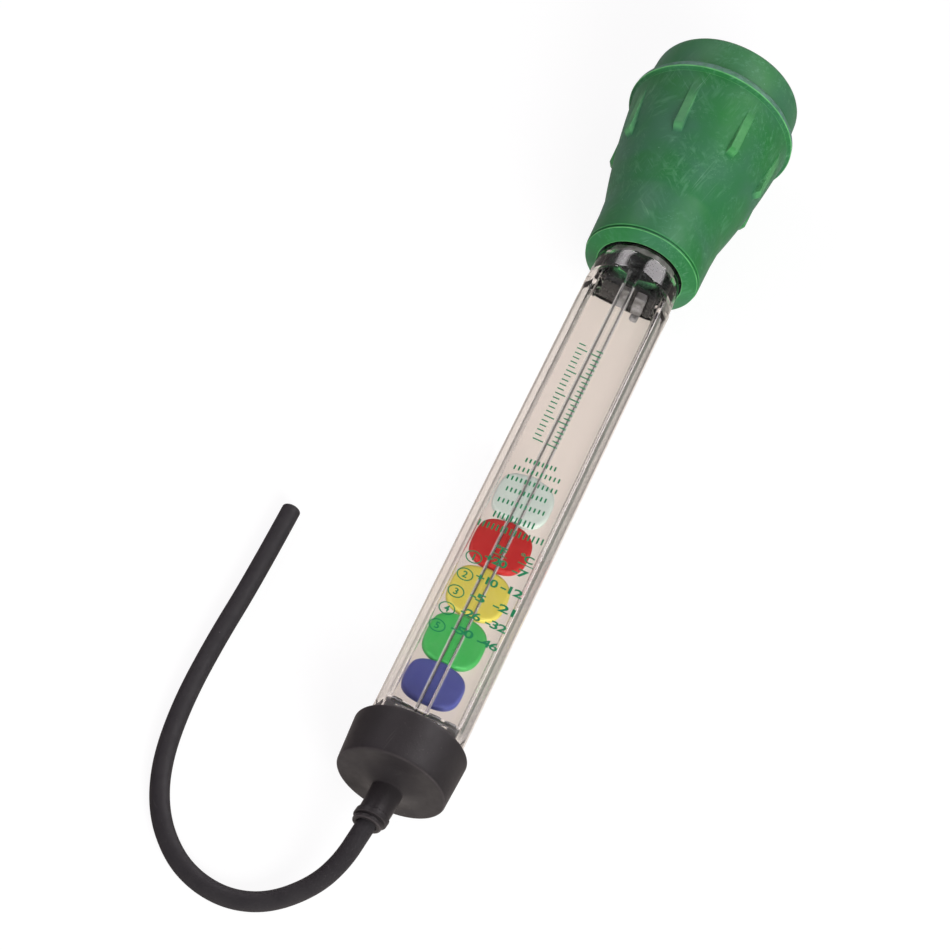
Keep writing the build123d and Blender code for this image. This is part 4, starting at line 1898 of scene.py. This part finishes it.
@dataclass(frozen=True)
class Window:
    """A bright stretch of the sky that gloss mirrors, between two bearings and two heights."""

    bearing: float
    half_width: float
    low: float
    high: float
    strength: float
    soft: float = 0.08

    def light(self, nodes: Nodes, way: bpy.types.NodeSocket) -> bpy.types.NodeSocket:
        """The window's light, with soft edges.

        Args:
            nodes: The world's nodes.
            way: The way out into the world.

        Returns:
            Its strength inside its four edges, and 0 outside them.
        """
        parts = nodes.add("SeparateXYZ", {"Vector": way}).outputs
        bearing = nodes.maths("ARCTAN2", parts["Y"], parts["X"])
        off = nodes.maths("ABSOLUTE", nodes.maths("SUBTRACT", bearing, self.bearing))
        aside = nodes.ranged(
            off, self.half_width - self.soft, self.half_width + self.soft, self.strength, 0.0
        )
        rise = nodes.ranged(parts["Z"], self.low, self.low + self.soft)
        fall = nodes.ranged(parts["Z"], self.high, self.high + self.soft, 1.0, 0.0)
        return nodes.maths("MULTIPLY", aside, nodes.maths("MULTIPLY", rise, fall))


@dataclass(frozen=True)
class Lamp:
    """One soft lamp: its place and size in metres, its power in watts and its colour."""

    name: str
    place: tuple[float, float, float]
    size: float
    power: float
    tint: tuple[float, float, float] = (1.0, 1.0, 1.0)

    def hang(self, aim: Vector) -> None:
        """Hang the lamp so that it faces a point. Gloss mirrors the windows alone.

        Args:
            aim: The point, in metres.
        """
        data = bpy.data.lights.new(self.name, "AREA")
        data.shape = "RECTANGLE"
        data.size = data.size_y = self.size
        data.energy = self.power
        data.color = self.tint
        piece = linked(self.name, data)
        piece.visible_glossy = False
        way = aim - Vector(self.place)
        piece.matrix_world = Matrix.LocRotScale(Vector(self.place), way.to_track_quat("-Z", "Y"), None)


@dataclass
class Studio:
    """The floor, the light and the camera. Nothing here is part of the tester."""

    WHITE = (1.0, 1.0, 1.0, 1.0)
    SIDE_TINT = (0.95, 0.78, 0.93)

    centre: tuple[float, float, float] = (-0.0376, 0.0187, 0.03)
    camera_place: tuple[float, float, float] = (-0.642507, -0.034662, 0.877968)
    camera_roll: float = 20.62
    focal: float = 123.158
    sensor: float = 36.0
    clip: tuple[float, float] = (0.01, 20.0)
    floor_size: float = 6.0
    paper: float = 0.8
    seen_strength: float = 1.06
    seen_share: float = 0.84
    room_strength: float = 0.42
    # What gloss and glass see of the floor: a warm glow that falls away from the tool's line
    mirror_colour: tuple[float, float, float] = (0.91, 0.83, 0.77)
    mirror_stretch: tuple[float, float, float] = (0.08, 1.0, 1.0)
    mirror_near: float = 0.02
    mirror_far: float = 0.05
    mirror_low: float = 0.16
    mirror_glow_share: float = 0.65
    through_shift: float = -0.014
    through_low: float = 0.34
    # What they see of the room: dim on one side, brighter on the other, with windows
    mirror_dim: float = 0.06
    mirror_bright: float = 0.3
    mirror_sides: tuple[float, float] = (0.1, 0.7)
    mirror_tint: tuple[float, float, float] = (1.0, 0.95, 0.98)
    tint_sides: tuple[float, float] = (-0.1, 0.5)
    windows: tuple[Window, ...] = (
        Window(-0.58, 0.34, 0.3, 0.84, 7.0),
        Window(0.66, 0.22, 0.3, 0.6, 6.0),
        Window(0.04, 0.3, 0.3, 0.6, 3.5),
    )
    window_within: float = 0.05
    lamps: tuple[Lamp, ...] = (
        Lamp("key_lamp", (-1.05, -0.72, 0.72), 0.7, 18.0),
        Lamp("fill_lamp", (0.2, 1.1, 0.8), 0.8, 2.4, SIDE_TINT),
    )

    def camera(self) -> None:
        """Set the camera: it looks at the centre, and is rolled about its own line of sight."""
        data = bpy.data.cameras.new("camera")
        data.lens = self.focal
        data.sensor_width = self.sensor
        data.clip_start, data.clip_end = self.clip
        piece = linked("camera", data)
        place, aim = Vector(self.camera_place), Vector(self.centre)
        level = (aim - place).to_track_quat("-Z", "Y").to_matrix()
        rolled = level @ Matrix.Rotation(math.radians(self.camera_roll), 3, "Z")
        piece.matrix_world = Matrix.LocRotScale(place, rolled, None)
        bpy.context.scene.camera = piece

    @staticmethod
    def looked(nodes: Nodes, path: bpy.types.Node) -> bpy.types.NodeSocket:
        """Whether gloss or glass sends the ray out."""
        return nodes.maths("MAXIMUM", path.outputs["Is Glossy Ray"], path.outputs["Is Transmission Ray"])

    def glow(self, nodes: Nodes, path: bpy.types.Node) -> bpy.types.NodeSocket:
        """How bright the floor is in gloss and through glass.

        It falls from 1 near the tool's line to its low value away from it. Through glass, that line
        is shifted and the low value is another.

        Args:
            nodes: The floor's nodes.
            path: Its Light Path node.

        Returns:
            The brightness.
        """
        inside = nodes.ranged(path.outputs["Transmission Depth"], 0.0, 1.0)
        aside = nodes.maths("MULTIPLY", inside, self.through_shift)
        shift = nodes.add("CombineXYZ", {"Y": aside}).outputs[0]
        place = nodes.add("TexCoord").outputs["Object"]
        shifted = nodes.add("VectorMath", {0: place, 1: shift}).outputs[0]
        drawn_in = nodes.add("VectorMath", {0: shifted, 1: self.mirror_stretch}, operation="MULTIPLY")
        reach = nodes.add("VectorMath", {0: drawn_in.outputs[0]}, operation="LENGTH").outputs["Value"]
        share = nodes.ranged(reach, self.mirror_near, self.mirror_far, 1.0, 0.0)
        low = nodes.ranged(inside, 0.0, 1.0, self.mirror_low, self.through_low)
        return nodes.maths("MAXIMUM", share, low)

    def floor(self) -> None:
        """Lay the pale floor: plain for light, and near white to the eye, with the tester's soft shadow."""
        half = self.floor_size / 2
        mesh = bpy.data.meshes.new("floor")
        corners = [(-half, -half, 0), (half, -half, 0), (half, half, 0), (-half, half, 0)]
        mesh.from_pydata(corners, [], [(0, 1, 2, 3)])
        material, nodes = new_material("floor_paper")
        path = nodes.add("LightPath")
        paper = nodes.add("BsdfDiffuse", {"Color": (*[self.paper] * 3, 1.0)})
        bright = nodes.add("BsdfDiffuse", {"Color": self.WHITE})
        white = nodes.add("Emission", {"Color": self.WHITE, "Strength": self.seen_strength})
        seen = nodes.blended(self.seen_share, bright, white)
        dull = nodes.add("BsdfDiffuse", {"Color": (*self.mirror_colour, 1.0)})
        glow = self.glow(nodes, path)
        warm = nodes.add("Emission", {"Color": (*self.mirror_colour, 1.0), "Strength": glow})
        mirrored = nodes.blended(self.mirror_glow_share, dull, warm)
        plain = nodes.blended(self.looked(nodes, path), paper, mirrored)
        both = nodes.blended(path.outputs["Is Camera Ray"], plain, seen)
        nodes.add("OutputMaterial", {"Surface": both.outputs[0]})
        piece = linked("floor", mesh)
        piece.data.materials.append(material)

    def world(self) -> None:
        """Fill the room with plain light: white to the eye, and dark with windows in mirrors."""
        world = bpy.data.worlds.new("studio")
        world.use_nodes = True
        bpy.context.scene.world = world
        world.node_tree.nodes.clear()
        nodes = Nodes(world.node_tree)
        path = nodes.add("LightPath")
        way = nodes.add("TexCoord").outputs["Generated"]
        aside = nodes.add("SeparateXYZ", {"Vector": way}).outputs["Y"]
        seen = nodes.ranged(aside, *self.mirror_sides, self.mirror_dim, self.mirror_bright)
        outer = nodes.ranged(path.outputs["Transmission Depth"], 0.0, 1.0, 1.0, self.window_within)
        for window in self.windows:
            seen = nodes.maths("ADD", seen, nodes.maths("MULTIPLY", outer, window.light(nodes, way)))
        tint = nodes.mixed(nodes.ranged(aside, *self.tint_sides), self.WHITE, (*self.SIDE_TINT, 1.0))
        light = nodes.add("Background", {"Color": tint, "Strength": self.room_strength})
        mirror = nodes.add("Background", {"Color": (*self.mirror_tint, 1.0), "Strength": seen})
        eye = nodes.add("Background", {"Color": self.WHITE, "Strength": 1.0})
        first = nodes.blended(self.looked(nodes, path), light, mirror)
        second = nodes.blended(path.outputs["Is Camera Ray"], first, eye)
        nodes.add("OutputWorld", {"Surface": second.outputs[0]})

    def build(self) -> None:
        """Set up the whole studio."""
        self.camera()
        self.floor()
        self.world()
        for lamp in self.lamps:
            lamp.hang(Vector(self.centre))
        bpy.context.scene.view_settings.view_transform = "Standard"


def main() -> None:
    """Build the tester's looks in order."""
    logging.basicConfig(level=logging.INFO, format="%(name)s: %(message)s")
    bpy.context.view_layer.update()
    line = ToolLine.from_record(frame["record"])
    finishes = Finishes()
    Studio().build()
    black = finishes.black_rubber.build()
    SuctionHose(line, finishes.hose_rubber.build()).build()
    EndCap(line, black).build()
    SqueezeBulb(line, finishes.green_rubber.build()).build()
    barrel = Barrel(line, finishes.clear_acrylic.build(), finishes.frosted_acrylic.build())
    barrel.build()
    FloatStops(line, finishes.black_plastic.build(), finishes.smoky_plastic.build(), barrel).build()
    DiscRow(line, finishes).build()
    Scale(line, finishes.print_ink.build()).build()


if __name__ == "__main__":
    main()
